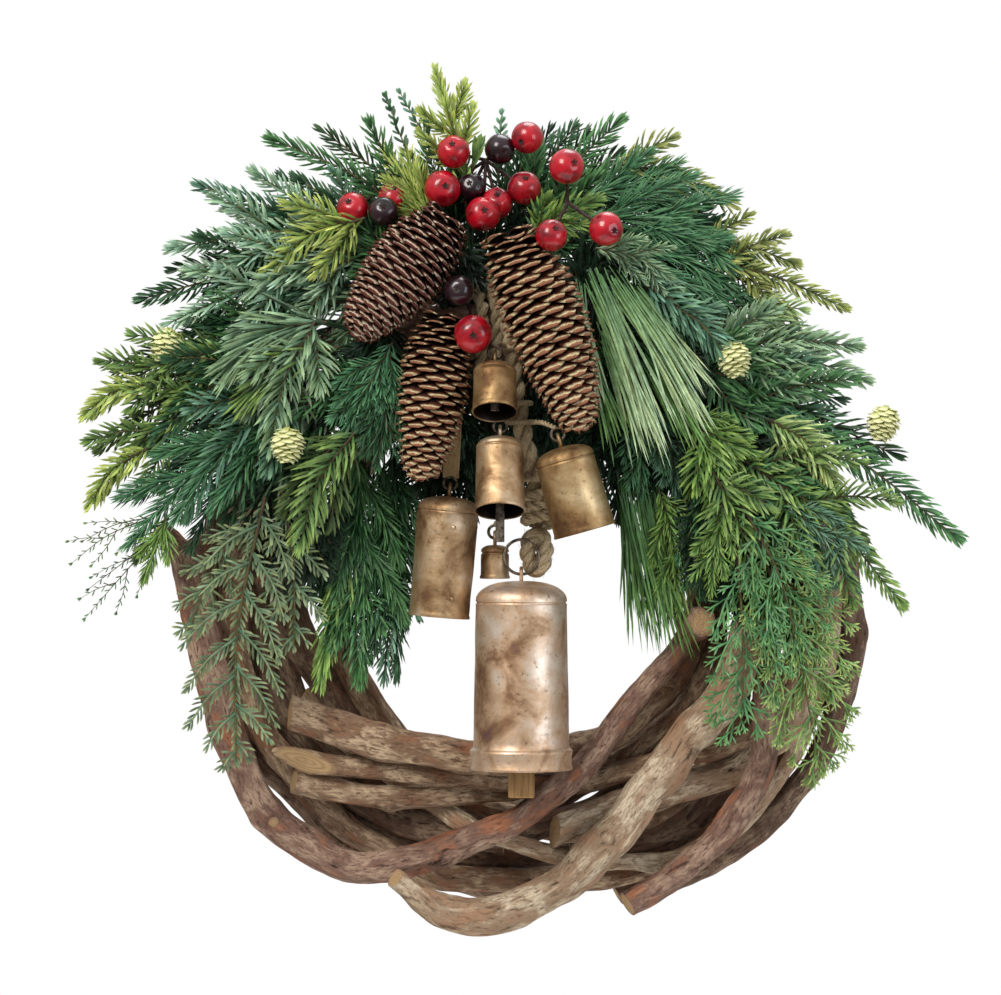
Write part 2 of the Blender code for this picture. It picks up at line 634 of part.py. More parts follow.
def cone_mesh(name, length, radius):
    """A spruce cone: fullest above its middle and blunt at both ends."""
    rows = 9
    profile = [(0, 0)]
    for k in range(rows):
        t = (k + 0.6) / rows
        profile.append((radius * math.sin(math.pi * t**CONE_FULLEST) ** CONE_BLUNTNESS, -length * t))
    profile.append((0, -length))
    return turned(name, profile, 12)


def aimed(start, end, lean):
    """The turn that points a piece made down the Z axis from its start to its end, both (x, z)."""
    way = Vector((end[0] - start[0], 0, end[1] - start[1]))
    return (math.radians(-lean), -math.atan2(way.x, -way.z), 0.0), way.length


BUDS = (
    ("bud_far_left", (-179, 121), 20),
    ("bud_left", (-117, 71), 5),
    ("bud_right", (102, 113), -10),
    ("bud_far_right", (177, 82), 15),
)
BUD_RADIUS = 8.2
BUD_TOP = 9.5
BUD_FOOT = 9.0

# name, where its wires gather (x, z), and its berries (x, z, how far forward, radius)
PICKS = (
    ("pick_left", (-66, 204), ((-86, 189, 2, 8.2), (-66.5, 194.5, 0, 7.2), (-70.5, 187, 9, 7.6))),
    ("pick_middle", (-20, 214), (
        (-36, 217, 0, 8.2), (-41.5, 198.5, 3, 9.0), (-27, 199.5, -2, 7.2), (-13, 218.5, -2, 7.6),
        (0.5, 224, 1, 8.0), (-1, 199, 0, 8.4), (-14.5, 191.5, 1, 7.8), (-21.5, 185.5, 8, 8.6))),
    ("pick_right", (20, 190), ((19.5, 206.5, 0, 8.6), (12, 173, 0, 7.8), (38.5, 176, 3, 8.4))),
    ("pick_low", (-28, 140), ((-26, 125.5, 4, 9.4), (-33, 147, 0, 7.4))),
)
STEM_RADIUS = 1.4
WIRE_RADIUS = 0.9


def berries(name, gather, places):
    """Berries on short wires that gather behind them."""
    knot = Vector((gather[0], 12.0, gather[1]))
    stem = [knot + Vector((0, 5, 0)), knot, knot + Vector((0, -1, 0))]
    pieces = [tube(name, stem, [STEM_RADIUS, STEM_RADIUS, 1.0], 1)]
    for x, z, forward, radius in places:
        centre = Vector((x, -forward, z))
        bend = knot.lerp(centre, 0.5) + Vector((0, 3, 0))
        pieces.append(tube(name, [knot, bend, centre + Vector((0, 2, 0))], [WIRE_RADIUS] * 3, 0))
        pieces.append(ball(name, centre, radius))
    return pieces


def ball(name, centre, radius):
    """A round fruit."""
    bm = bmesh.new()
    bmesh.ops.create_uvsphere(bm, u_segments=8, v_segments=5, radius=radius * MM)
    bmesh.ops.translate(bm, verts=bm.verts, vec=centre * MM)
    return mesh_from(name, bm)


def dress(pile, carrier, look):
    """Lays the boughs, then the cones, the buds and the berries, each on what is already there."""
    for name, foot, tips, sag, lean in BOUGHS:
        obj = bough(name, foot, tips, sag, lean)
        obj.parent = carrier
        obj.data.materials.append(look["bough"])
        pile.seat(obj)
    for name, start, end, radius, lean in CONES:
        turn, length = aimed(start, end, lean)
        cone = place(name, cone_mesh(name, length, radius), look["cone"], carrier, (start[0], 0, start[1]), turn)
        pile.seat(cone)
    for name, (x, z), lean in BUDS:
        profile = [(0, BUD_TOP)] + [(BUD_RADIUS * math.sin(a), BUD_TOP * math.cos(a)) for a in (0.6, 1.2, 1.8, 2.5)]
        bud = turned(name, profile + [(0, -BUD_FOOT)], 10)
        pile.seat(place(name, bud, look["bud"], carrier, (x, 0, z), (0, math.radians(lean), 0)))
    for name, gather, places in PICKS:
        pieces = berries(name, gather, places)
        pile.seat(joined(name, pieces[0], pieces[1:], look["berry"], carrier))


def main():
    """Builds the wreath."""
    for obj in list(bpy.data.objects):
        bpy.data.objects.remove(obj)
    look = finishes()
    carrier = bpy.data.objects.new("ring_middle", None)
    bpy.context.scene.collection.objects.link(carrier)
    carrier.location = spot(0, -HOOK_DEPTH, -HOOK_HEIGHT)
    pile = Pile()
    lay_vines(pile, carrier, look["vine"])
    hang_rope(pile, carrier, look)
    hang_strip(pile, carrier, look)
    for bell in BELLS:
        for obj in hang_bell(bell, carrier, look):
            if obj.parent is carrier:
                pile.add(obj)
        if bell.name in TIES:
            anchor, way = TIES[bell.name]
            pile.add(tie(bell.name.replace("bell", "hanger"), bell, anchor, way, look, carrier))
    dress(pile, carrier, look)


if __name__ == "__main__":
    main()
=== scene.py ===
"""The looks of a door wreath: rattan vines dressed with evergreens, spruce cones, berries, hop buds and tin bells.

Lengths here are millimetres, turned to metres where a mesh is made. X runs right, +Y runs back to the door and Z
runs up, from the door hook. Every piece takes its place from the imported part.
"""

import json
import logging
import math
from collections.abc import Sequence
from dataclasses import dataclass, field
from enum import Enum
from functools import lru_cache

import bmesh
import bpy
import numpy as np
from mathutils import Matrix, Vector, noise


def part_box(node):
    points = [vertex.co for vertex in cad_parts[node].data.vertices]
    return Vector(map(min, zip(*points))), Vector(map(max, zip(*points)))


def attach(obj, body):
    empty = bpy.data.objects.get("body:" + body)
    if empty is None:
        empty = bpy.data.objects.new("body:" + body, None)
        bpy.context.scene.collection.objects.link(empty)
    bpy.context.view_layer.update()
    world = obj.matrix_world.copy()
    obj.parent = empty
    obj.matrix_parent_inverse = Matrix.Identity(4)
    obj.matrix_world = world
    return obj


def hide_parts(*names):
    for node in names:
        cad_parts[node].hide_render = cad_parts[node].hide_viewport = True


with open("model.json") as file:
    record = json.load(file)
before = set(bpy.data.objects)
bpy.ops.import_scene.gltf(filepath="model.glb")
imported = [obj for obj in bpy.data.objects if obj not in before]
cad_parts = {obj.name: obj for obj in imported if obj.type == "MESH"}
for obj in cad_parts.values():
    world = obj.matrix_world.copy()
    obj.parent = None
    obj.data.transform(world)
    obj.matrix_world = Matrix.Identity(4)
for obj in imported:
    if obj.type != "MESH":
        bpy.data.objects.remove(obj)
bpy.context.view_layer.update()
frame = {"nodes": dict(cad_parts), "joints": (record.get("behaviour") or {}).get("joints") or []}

LOG = logging.getLogger("wreath")

MM = 0.001
RING_MIDDLE = np.array([0.0, 9.0, -128.0])  # the middle of the ring, from the hook
RIGHT = np.array([1.0, 0.0, 0.0])
VIEWER = np.array([0.0, -1.0, 0.0])
DOWN = np.array([0.0, 0.0, -1.0])
GOLDEN_ANGLE = math.pi * (3 - math.sqrt(5))

Array = np.ndarray
Point = tuple[float, float]
Triple = tuple[float, float, float]
Stops = tuple[tuple[float, str], ...]
Object = bpy.types.Object
Socket = bpy.types.NodeSocket
BMesh = bmesh.types.BMesh


# ---------------------------------------------------------------- colours and shaders


def linear(code: str) -> tuple[float, float, float, float]:
    """Turns an sRGB colour to linear light.

    Args:
        code: the colour, as "#RRGGBB".

    Returns:
        Red, green, blue and an alpha of 1.
    """
    channels = [int(code[k : k + 2], 16) / 255 for k in (1, 3, 5)]
    red, green, blue = (c / 12.92 if c <= 0.04045 else ((c + 0.055) / 1.055) ** 2.4 for c in channels)
    return red, green, blue, 1.0


class Shading:
    """A node tree and its shader, with short ways to add to them."""

    MIX_A, MIX_B, MIX_COLOUR = 6, 7, 2  # the colour sockets of a Mix node

    def __init__(self, tree: bpy.types.NodeTree, shader: str) -> None:
        """Takes up a tree, and the shader that has this name in it."""
        self.tree = tree
        self.shader = tree.nodes[shader]

    def feed(self, node: bpy.types.Node, inputs: dict) -> None:
        """Gives a node's inputs a socket or a constant each.

        Args:
            node: the node.
            inputs: what its inputs take, by name or number.
        """
        for key, value in inputs.items():
            if isinstance(value, Socket):
                self.tree.links.new(value, node.inputs[key])
            else:
                node.inputs[key].default_value = value

    def add(self, kind: str, inputs: dict | None = None, out: int | str = 0, **settings: object) -> Socket:
        """Adds a node to the tree.

        Args:
            kind: its type, after "ShaderNode".
            inputs: what its inputs take.
            out: the output that is wanted.
            settings: its own properties.

        Returns:
            That output.
        """
        node = self.tree.nodes.new("ShaderNode" + kind)
        for name, value in settings.items():
            setattr(node, name, value)
        self.feed(node, inputs or {})
        return node.outputs[out]

    def read(self, name: str, out: str = "Fac") -> Socket:
        """Reads one of the mesh's attributes."""
        return self.add("Attribute", out=out, attribute_name=name)

    def stretch(self, place: Socket, scale: Triple) -> Socket:
        """Stretches coordinates."""
        return self.add("Mapping", {"Vector": place, "Scale": scale})

    def cloud(self, place: Socket, scale: float, detail: float, rough: float = 0.5, swirl: float = 0.0) -> Socket:
        """Lays a cloud of noise, so many features to a unit of its coordinates."""
        values = {"Scale": scale, "Detail": detail, "Roughness": rough, "Distortion": swirl}
        return self.add("TexNoise", {"Vector": place, **values}, "Fac")

    def mix(self, share: Socket | float, under: object, over: object, kind: str = "MIX") -> Socket:
        """Lays one colour over another, by a share."""
        inputs = {0: share, self.MIX_A: under, self.MIX_B: over}
        return self.add("Mix", inputs, self.MIX_COLOUR, data_type="RGBA", blend_type=kind)

    def ramp(self, height: Socket, stops: Stops) -> Socket:
        """Colours a height.

        Args:
            height: the height.
            stops: positions and their sRGB colours: the two ends first, then what lies between.

        Returns:
            The colour.
        """
        colour = self.add("ValToRGB", {"Fac": height})
        elements = colour.node.color_ramp.elements
        for number, (position, code) in enumerate(stops):
            stop = elements[number] if number < 2 else elements.new(position)
            stop.position = position
            stop.color = linear(code)
        return colour

    def finish(self, inputs: dict, height: Socket | None = None, strength: float = 0.0, depth: float = 0.0) -> None:
        """Feeds the shader.

        Args:
            inputs: what its inputs take.
            height: a relief to raise the surface by, or None for a smooth one.
            strength: how strong the relief is.
            depth: how deep it is, in millimetres.
        """
        self.feed(self.shader, inputs)
        if height:
            relief = self.add("Bump", {"Height": height, "Strength": strength, "Distance": depth * MM})
            self.feed(self.shader, {"Normal": relief})


@dataclass(frozen=True)
class Finish:
    """A surface finish, made once as a material."""

    name: str

    def material(self) -> bpy.types.Material:
        """Gives the finish's material, making it the first time.

        Returns:
            The material.
        """
        found = bpy.data.materials.get(self.name)
        if not found:
            found = bpy.data.materials.new(self.name)
            found.use_nodes = True
            self.dress(Shading(found.node_tree, "Principled BSDF"))
        return found

    def dress(self, shading: Shading) -> None:
        """Sets the shader up. Each finish has its own way."""
        raise NotImplementedError


@dataclass(frozen=True)
class Mottled(Finish):
    """A finish that one cloud of noise colours and roughens.

    Attributes:
        stops: the colours, by how high the cloud stands.
        grain: how many features the cloud has in a millimetre, along X, Y and Z.
        follows: the attribute with the piece's straightened coordinates, or "" for its own.
        edge: the attribute that runs from a scale's foot to its edge and moves the colours along, or "".
        wander: how unevenly the colours run along with the edge.
        bump: how strong the relief is.
        rough: the roughness.
        metal: how metallic it is.
        shine: the strength of its reflection.
        coat: how much clear coat it has.
    """

    stops: Stops
    grain: Triple = (0.4, 0.4, 0.4)
    follows: str = ""
    edge: str = ""
    wander: float = 0.26
    bump: float = 0.4
    rough: float = 0.7
    metal: float = 0.0
    shine: float = 0.35
    coat: float = 0.0

    def dress(self, shading: Shading) -> None:
        """Colours and roughens the surface by its cloud.

        Args:
            shading: the material's tree.
        """
        if self.follows:
            place, grain = shading.read(self.follows, "Vector"), self.grain
        else:
            place, grain = shading.add("TexCoord", out="Object"), tuple(features / MM for features in self.grain)
        cloud = shading.cloud(shading.stretch(place, grain), 1.0, 4.5, 0.64)
        height = cloud
        if self.edge:
            uneven = shading.add("Math", {0: cloud, 1: self.wander}, operation="MULTIPLY")
            height = shading.add("Math", {0: shading.read(self.edge), 1: uneven})
        shading.finish({
            "Base Color": shading.ramp(height, self.stops), "Roughness": self.rough, "Metallic": self.metal,
            "Specular IOR Level": self.shine, "Coat Weight": self.coat, "Coat Roughness": 0.14,
        }, cloud, self.bump, 0.5)


@dataclass(frozen=True)
class VineBark(Finish):
    """Air-dried vine with its bark on: stringy, flaking, matt, with pale wood where it is cut.

    The bark gives the eye long dull streaks, flaked patches of paler bast and fine dark cracks along the grain, and
    painted shade darkens the low places of its fibres.
    """

    crack: str = "#3C2A1F"
    bark: str = "#8A6E57"
    flake: str = "#CDB495"
    blush: str = "#A46C4D"

    def dress(self, shading: Shading) -> None:
        """Lays streaks, flakes and cracks along the vine, painted shade in the low places of its fibres, and growth
        rings on its cut ends.

        Args:
            shading: the material's tree.
        """
        grain = shading.read("grain", "Vector")

        def cloud(across: float, along: float, detail: float, rough: float) -> Socket:
            """Lays noise with so many features a millimetre across the vine and along it."""
            return shading.cloud(shading.stretch(grain, (across, across, along)), 1.0, detail, rough, 0.4)

        def share_of(height: Socket, low: float, high: float, most: float = 1.0) -> Socket:
            """Tells how far a cloud stands between two heights."""
            return shading.add("MapRange", {"Value": height, "From Min": low, "From Max": high, "To Max": most})

        streaks, patches, fibres = cloud(0.20, 0.055, 8, 0.68), cloud(0.08, 0.045, 5, 0.6), cloud(0.75, 0.22, 7, 0.7)
        body = shading.ramp(streaks, ((0.34, self.crack), (0.66, self.flake), (0.44, self.bark), (0.55, self.bark)))
        flaked = shading.ramp(fibres, ((0.36, self.bark), (0.56, self.flake)))
        skin = shading.mix(share_of(patches, 0.48, 0.60), body, flaked)
        skin = shading.mix(share_of(patches, 0.45, 0.33, 0.7), skin, linear(self.blush))
        # Painted shade: the fibres' low places, which the relief also sinks, are multiplied darker.
        skin = shading.mix(0.7, skin, shading.ramp(fibres, ((0.32, "#6E6258"), (0.48, "#FFFFFF"))), "MULTIPLY")
        waves = {"Scale": 0.22, "Distortion": 5.0, "Detail": 3.0, "Detail Scale": 0.6}
        flat = shading.stretch(grain, (1.0, 1.0, 0.06))
        rings = shading.add("TexWave", {"Vector": flat, **waves}, "Fac", wave_type="RINGS", rings_direction="Z")
        wood = shading.ramp(rings, ((0.0, "#C09C70"), (0.6, "#CFB186")))
        wood = shading.mix(0.45, wood, shading.mix(0.35, wood, flaked, "MULTIPLY"))
        colour = shading.mix(shading.read("cut"), skin, wood)
        values = {"Base Color": colour, "Roughness": 0.86, "Specular IOR Level": 0.28}
        shading.finish(values, shading.add("Math", {0: streaks, 1: fibres}), 1.0, 1.6)


@dataclass(frozen=True)
class MouldedNeedle(Finish):
    """Polyethylene needles, moulded and tinted: satin, each a little different, paler at the tip."""

    def dress(self, shading: Shading) -> None:
        """Takes the needle's own colour and clouds it a little.

        Args:
            shading: the material's tree.
        """
        cloud = shading.cloud(shading.add("TexCoord", out="Object"), 210.0, 3.0)
        tone = shading.ramp(cloud, ((0.30, "#B4B8AE"), (0.68, "#FFFFFF")))
        colour = shading.mix(1.0, shading.read("leaf", "Color"), tone, "MULTIPLY")
        shading.finish({"Base Color": colour, "Roughness": 0.50, "Specular IOR Level": 0.36})


@dataclass(frozen=True)
class AgedBrass(Finish):
    """Brass-washed tin bells, fire-aged: champagne where rubbed, brown and plum where tarnished, pitted.

    Their insides are painted near-black, as painted shade inside the bell.
    """

    pale: str = "#E6D3B8"
    brass: str = "#B59873"
    brown: str = "#7C5E40"
    plum: str = "#644B49"

    def dress(self, shading: Shading) -> None:
        """Clouds the metal with tarnish, pits it, and dulls it where it is dark.

        Args:
            shading: the material's tree.
        """
        place = shading.add("TexCoord", out="Object")
        cloud, pits = shading.cloud(place, 42.0, 7.0, 0.58, 0.4), shading.cloud(place, 330.0, 4.0, 0.7)
        wash = shading.ramp(cloud, ((0.30, self.plum), (0.70, self.pale), (0.39, self.brown), (0.50, self.brass)))
        pitted = shading.ramp(pits, ((0.28, "#6E5E50"), (0.42, "#FFFFFF")))
        unshaded_metal = shading.mix(0.75, wash, pitted, "MULTIPLY")
        # Painted shade: where the shell marks the inside of the bell, the metal is mixed to near-black.
        colour = shading.mix(shading.read("soot"), unshaded_metal, linear("#1E1611"))
        dulled = {"Value": cloud, "From Min": 0.35, "From Max": 0.65, "To Min": 0.62, "To Max": 0.42}
        values = {"Base Color": colour, "Roughness": shading.add("MapRange", dulled), "Metallic": 0.85}
        shading.finish(values, shading.add("Math", {0: shading.cloud(place, 95.0, 3.0), 1: pits}), 0.30, 0.6)


def cone_scale(name: str, body: str, tan: str, edge: str) -> Mottled:
    """Dry spruce cone scales: near-black towards the foot and on the core, as painted shade in the cone's depths, with
    thin pale woody edges, partly their own colour and partly painted highlight.
    """
    # Painted shade: the hidden foot of each scale and the core take the near-black stop; the pale edge stop is partly a
    # painted highlight.
    stops = ((0.72, "#1A0C08"), (1.08, edge), (0.87, body), (1.00, tan))
    return Mottled(name, stops, (0.42,) * 3, edge="rim", rough=0.66, shine=0.2)


def lacquer(name: str, deep: str, bright: str) -> Mottled:
    """Lacquered foam berries: a deep clear colour under gloss, slightly blotched."""
    return Mottled(name, ((0.34, deep), (0.56, bright)), (0.12,) * 3, bump=0.2, rough=0.3, coat=0.6)


BARK_BROWN = VineBark("vine_bark_brown")
BARK_PALE = VineBark("vine_bark_pale", crack="#544030", bark="#AB9075", flake="#E2D2B6", blush="#B4896A")
BARK_RED = VineBark("vine_bark_red", crack="#3B2920", bark="#86685A", flake="#BDA18A", blush="#B87650")
BARK_DARK = VineBark("vine_bark_dark", crack="#34271E", bark="#70594A", flake="#A68E76", blush="#8A624C")
CANE = VineBark("split_cane", crack="#8C7450", bark="#C3A77A", flake="#DCC79B", blush="#BFA070")
NEEDLE = MouldedNeedle("moulded_polyethylene_needle")
CONE_DARK = cone_scale("spruce_cone_dark", "#36130B", "#5C3026", "#DAC8AE")
CONE_TAN = cone_scale("spruce_cone_tan", "#562A1A", "#8C5E46", "#DED3A6")
BERRY_RED = lacquer("lacquered_berry_red", "#5E0310", "#B40B20")
BERRY_DARK = lacquer("lacquered_berry_dark", "#0C0406", "#260E18")
# Dried stars, taped wires and twig skins, dull and near black.
HUSK = Mottled("dried_husk", ((0.35, "#1A1010"), (0.65, "#43302A")), (0.5,) * 3, rough=0.75)
# Papery hop bracts, greener at the foot and creamy at the edge.
BRACT = Mottled(
    "hop_bract", ((0.15, "#7F8E3E"), (1.1, "#E6E6B2"), (0.62, "#BEC57E")), (0.38,) * 3, edge="rim", wander=0.4
)
BRASS = AgedBrass("fire_aged_brass")
BRASS_ROSE = AgedBrass("fire_aged_brass_rose", "#F4E6D6", "#CBAC8D", "#8E6E52", "#72525A")
BRASS_GOLD = AgedBrass("fire_aged_brass_gold", "#D8C197", "#A6885E", "#735536", "#5E463E")
# A sawn softwood clapper, stained, with its grain upright.
WOOD = Mottled("sawn_softwood", ((0.32, "#7A5632"), (0.62, "#B58E5C")), (0.62, 0.62, 0.04), rough=0.72)
# Spun jute, dry and hairy, with bright and dark fibres along the yarn.
JUTE = Mottled(
    "spun_jute", ((0.32, "#78654A"), (0.64, "#D8C6A2")), (2.6, 2.6, 0.5), "grain", bump=0.9, rough=0.92, shine=0.2
)
# Annealed iron wire and rod, grey-brown with a dull shine.
IRON = Mottled("annealed_iron", ((0.35, "#3A322B"), (0.62, "#8A7E70")), (0.4,) * 3, rough=0.45, metal=0.9)
# Matt emulsion on the studio floor, plain and pale.
EMULSION = Mottled("matt_emulsion", ((0.3, "#E6E4E0"), (0.7, "#EAE8E4")), (0.01,) * 3, bump=0.0, rough=0.9)


# ---------------------------------------------------------------- gathering meshes


@dataclass
class Patch:
    """Triangles in millimetres, with values at their corners by attribute name."""

    corners: Array
    faces: Array
    marks: dict[str, Array] = field(default_factory=dict)


class Piece:
    """One named mesh, gathered patch by patch."""

    ATTRIBUTES = {1: ("FLOAT", "value"), 3: ("FLOAT_VECTOR", "vector"), 4: ("FLOAT_COLOR", "color")}

    def __init__(self, name: str, *finishes: Finish) -> None:
        """Starts a piece.

        Args:
            name: its name.
            finishes: its finishes, in the order that its patches number them.
        """
        self.name = name
        self.finishes = finishes
        self.patches: list[tuple[Patch, int]] = []

    def add(self, patch: Patch, finish: int = 0) -> None:
        """Adds a patch, in one of the piece's finishes."""
        self.patches.append((patch, finish))

    def build(self, slot: str, *replaced: str, body: str = "root", sharp: float = 42.0) -> Object:
        """Makes the mesh, puts it on its body and stands it in for its CAD nodes.

        Args:
            slot: the record's material slot; not used.
            replaced: the CAD nodes that it stands for.
            body: the body that it rides on.
            sharp: the angle in degrees past which an edge stays crisp.

        Returns:
            The object.
        """
        starts = np.cumsum([0] + [len(patch.corners) for patch, _ in self.patches])
        corners = np.concatenate([patch.corners for patch, _ in self.patches])
        faces = np.concatenate([patch.faces + start for (patch, _), start in zip(self.patches, starts)])
        finish = np.concatenate([np.full(len(patch.faces), number) for patch, number in self.patches])
        mesh = bpy.data.meshes.new(self.name)
        mesh.vertices.add(len(corners))
        mesh.vertices.foreach_set("co", (corners * MM).astype(np.float32).ravel())
        mesh.loops.add(faces.size)
        mesh.loops.foreach_set("vertex_index", faces.astype(np.int32).ravel())
        mesh.polygons.add(len(faces))
        mesh.polygons.foreach_set("loop_start", np.arange(0, faces.size, 3, dtype=np.int32))
        mesh.polygons.foreach_set("material_index", finish.astype(np.int32))
        mesh.update(calc_edges=True)
        for name in sorted({name for patch, _ in self.patches for name in patch.marks}):
            self.mark(mesh, name)
        mesh.shade_smooth()
        mesh.set_sharp_from_angle(angle=math.radians(sharp))
        for look in self.finishes:
            mesh.materials.append(look.material())
        obj = linked(self.name, mesh)
        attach(obj, body)
        if replaced:
            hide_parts(*replaced)
        LOG.info("%s: %d triangles on %s", self.name, len(faces), body)
        return obj

    def mark(self, mesh: bpy.types.Mesh, name: str) -> None:
        """Writes one attribute, with zeros on the patches that lack it.

        Args:
            mesh: the mesh that takes it.
            name: its name.
        """
        found = next(patch.marks[name] for patch, _ in self.patches if name in patch.marks)
        width = found.shape[1] if found.ndim > 1 else 1
        kind, value = self.ATTRIBUTES[width]
        rows = [patch.marks.get(name, np.zeros((len(patch.corners), width))) for patch, _ in self.patches]
        whole = np.concatenate([np.reshape(row, (-1, width)) for row in rows])
        mesh.attributes.new(name, kind, "POINT").data.foreach_set(value, whole.astype(np.float32).ravel())


def linked(name: str, data: bpy.types.ID) -> Object:
    """Makes an object and links it to the scene.

    Args:
        name: its name.
        data: its mesh, light or camera.

    Returns:
        The object.
    """
    obj = bpy.data.objects.new(name, data)
    bpy.context.scene.collection.objects.link(obj)
    return obj


def patch_from(bm: BMesh) -> Patch:
    """Reads a finished bmesh as a patch, and frees it.

    Args:
        bm: the mesh, in millimetres.

    Returns:
        Its triangles.
    """
    bmesh.ops.triangulate(bm, faces=bm.faces[:])
    bm.verts.index_update()
    corners = np.array([vert.co for vert in bm.verts], float)
    faces = np.array([[vert.index for vert in face.verts] for face in bm.faces])
    bm.free()
    return Patch(corners, faces)


def unit(rows: Array) -> Array:
    """Scales each row to length one."""
    return rows / np.maximum(np.linalg.norm(rows, axis=-1, keepdims=True), 1e-9)


def column(values: Array) -> Array:
    """Stands values up as a column, to multiply rows by."""
    return np.asarray(values)[:, None]


def square(rows: Array, ways: Array) -> Array:
    """Takes from each row what runs along its way."""
    return rows - ways * np.sum(rows * ways, axis=1, keepdims=True)


def lumps(places: Array) -> Array:
    """Smooth noise at each place, from -1 to 1."""
    return np.array([noise.noise(Vector(place)) for place in places])


# ---------------------------------------------------------------- lines and what follows them


def smooth(control: Sequence[Array], step: float) -> Array:
    """Runs a smooth curve through points.

    Args:
        control: the points.
        step: about how far apart its own points are.

    Returns:
        Its own points, one a row.
    """
    control = np.asarray(control, float)
    at = np.concatenate([[0.0], np.cumsum(np.linalg.norm(np.diff(control, axis=0), axis=1))])
    slope = np.gradient(control, at, axis=0)
    where = np.linspace(0, at[-1], max(3, round(at[-1] / step) + 1))
    k = np.clip(np.searchsorted(at, where, side="right") - 1, 0, len(at) - 2)
    span = column(at[k + 1] - at[k])
    t = column(where - at[k]) / span
    return (
        (2 * t**3 - 3 * t**2 + 1) * control[k]
        + (t**3 - 2 * t**2 + t) * span * slope[k]
        + (3 * t**2 - 2 * t**3) * control[k + 1]
        + (t**3 - t**2) * span * slope[k + 1]
    )


class Line:
    """A line of points with a frame carried along it: ahead, up and to the side."""

    def __init__(self, points: Array, up: Array = VIEWER) -> None:
        """Works out the frames.

        Args:
            points: the line's points, in order.
            up: the way that the upper side starts out facing.
        """
        self.points = points
        self.ahead = unit(np.gradient(points, axis=0))
        self.up = np.empty_like(points)
        current = np.asarray(up, float)
        for k, way in enumerate(self.ahead):
            current = current - way * (current @ way)
            current = current / max(1e-9, math.sqrt(current @ current))
            self.up[k] = current
        self.side = np.cross(self.ahead, self.up)
        steps = np.linalg.norm(np.diff(points, axis=0), axis=1)
        self.along = np.concatenate([[0.0], np.cumsum(steps)])
        self.length = float(self.along[-1])

    def at(self, where: Array) -> tuple[Array, Array, Array, Array]:
        """Reads the line between its points.

        Args:
            where: distances from its start.

        Returns:
            The places, and the ways ahead, up and to the side there.
        """
        def between(rows: Array) -> Array:
            """Interpolates each column."""
            return np.stack([np.interp(where, self.along, rows[:, axis]) for axis in range(3)], axis=-1)

        return between(self.points), unit(between(self.ahead)), unit(between(self.up)), unit(between(self.side))


def ringed_cone(sides: int, foot: float, tip: float, cuts: int) -> BMesh:
    """A capped cone of height one, cut across.

    Args:
        sides: how many faces go round it.
        foot: its radius at its foot.
        tip: its radius at its tip.
        cuts: how many cuts cross it.

    Returns:
        The cone, with its middle at the origin.
    """
    bm = bmesh.new()
    bmesh.ops.create_cone(bm, cap_ends=True, cap_tris=False, segments=sides, radius1=foot, radius2=tip, depth=1)
    upright = [edge for edge in bm.edges if abs(edge.verts[0].co.z - edge.verts[1].co.z) > 0.5]
    bmesh.ops.subdivide_edges(bm, edges=upright, cuts=cuts, use_grid_fill=True)
    return bm


@lru_cache(maxsize=None)
def sleeve(sides: int, rings: int) -> tuple[Array, Array, Array]:
    """A closed sleeve, as each corner's ring, its place in the ring, and the triangles.

    Args:
        sides: how many faces go round it.
        rings: how many rings of corners it has, three or more.

    Returns:
        The rings, the places and the triangles.
    """
    patch = patch_from(ringed_cone(sides, 1, 1, rings - 2))
    ring = np.rint((patch.corners[:, 2] + 0.5) * (rings - 1)).astype(int)
    turn = np.arctan2(patch.corners[:, 1], patch.corners[:, 0]) / math.tau * sides
    return ring, np.rint(turn).astype(int) % sides, patch.faces


def tube(line: Line, radii: Array | float, sides: int = 8) -> Patch:
    """A closed round tube along a line.

    Args:
        line: the line.
        radii: one radius, one for each point, or one for each point and side.
        sides: how many faces go round it.

    Returns:
        The tube, marked with its straightened coordinates as "grain".
    """
    rings = len(line.points)
    ring, side, faces = sleeve(sides, rings)
    radius = np.broadcast_to(np.reshape(radii, (-1, 1)) if np.ndim(radii) < 2 else radii, (rings, sides))[ring, side]
    angle = side * math.tau / sides
    over, aside = column(radius * np.cos(angle)), column(radius * np.sin(angle))
    corners = line.points[ring] + over * line.up[ring] + aside * line.side[ring]
    return Patch(corners, faces, {"grain": np.column_stack([over, aside, line.along[ring]])})


def hoop(centre: Array, along: Array, up: Array, radius: float, wire: float) -> Patch:
    """A closed wire ring, turned from a small circle.

    Args:
        centre: its middle.
        along: one way in its plane.
        up: the other way in its plane.
        radius: the radius to the middle of the wire.
        wire: the wire's radius.

    Returns:
        The ring.
    """
    bm = bmesh.new()
    start = bmesh.ops.create_circle(bm, segments=10, radius=wire)["verts"]
    bmesh.ops.rotate(bm, verts=start, cent=(0, 0, 0), matrix=Matrix.Rotation(math.pi / 2, 3, "X"))
    bmesh.ops.translate(bm, verts=start, vec=(radius, 0, 0))
    patch = turned(bm, bm.verts[:] + bm.edges[:], 36, 0.0001)
    along, up = unit(np.asarray(along, float)), unit(np.asarray(up, float))
    patch.corners = patch.corners @ np.stack([along, up, np.cross(along, up)]) + centre
    patch.marks["grain"] = patch.corners
    return patch


def turned(bm: BMesh, profile: list, steps: int, joins: float) -> Patch:
    """Turns a profile round Z to a closed skin.

    Args:
        bm: the mesh that holds it.
        profile: its corners and edges.
        steps: how many faces go round.
        joins: how near each other corners are joined.

    Returns:
        The skin.
    """
    bmesh.ops.spin(bm, geom=profile, cent=(0, 0, 0), axis=(0, 0, 1), angle=math.tau, steps=steps, use_merge=True)
    bmesh.ops.remove_doubles(bm, verts=bm.verts[:], dist=joins)
    bmesh.ops.recalc_face_normals(bm, faces=bm.faces[:])
    return patch_from(bm)


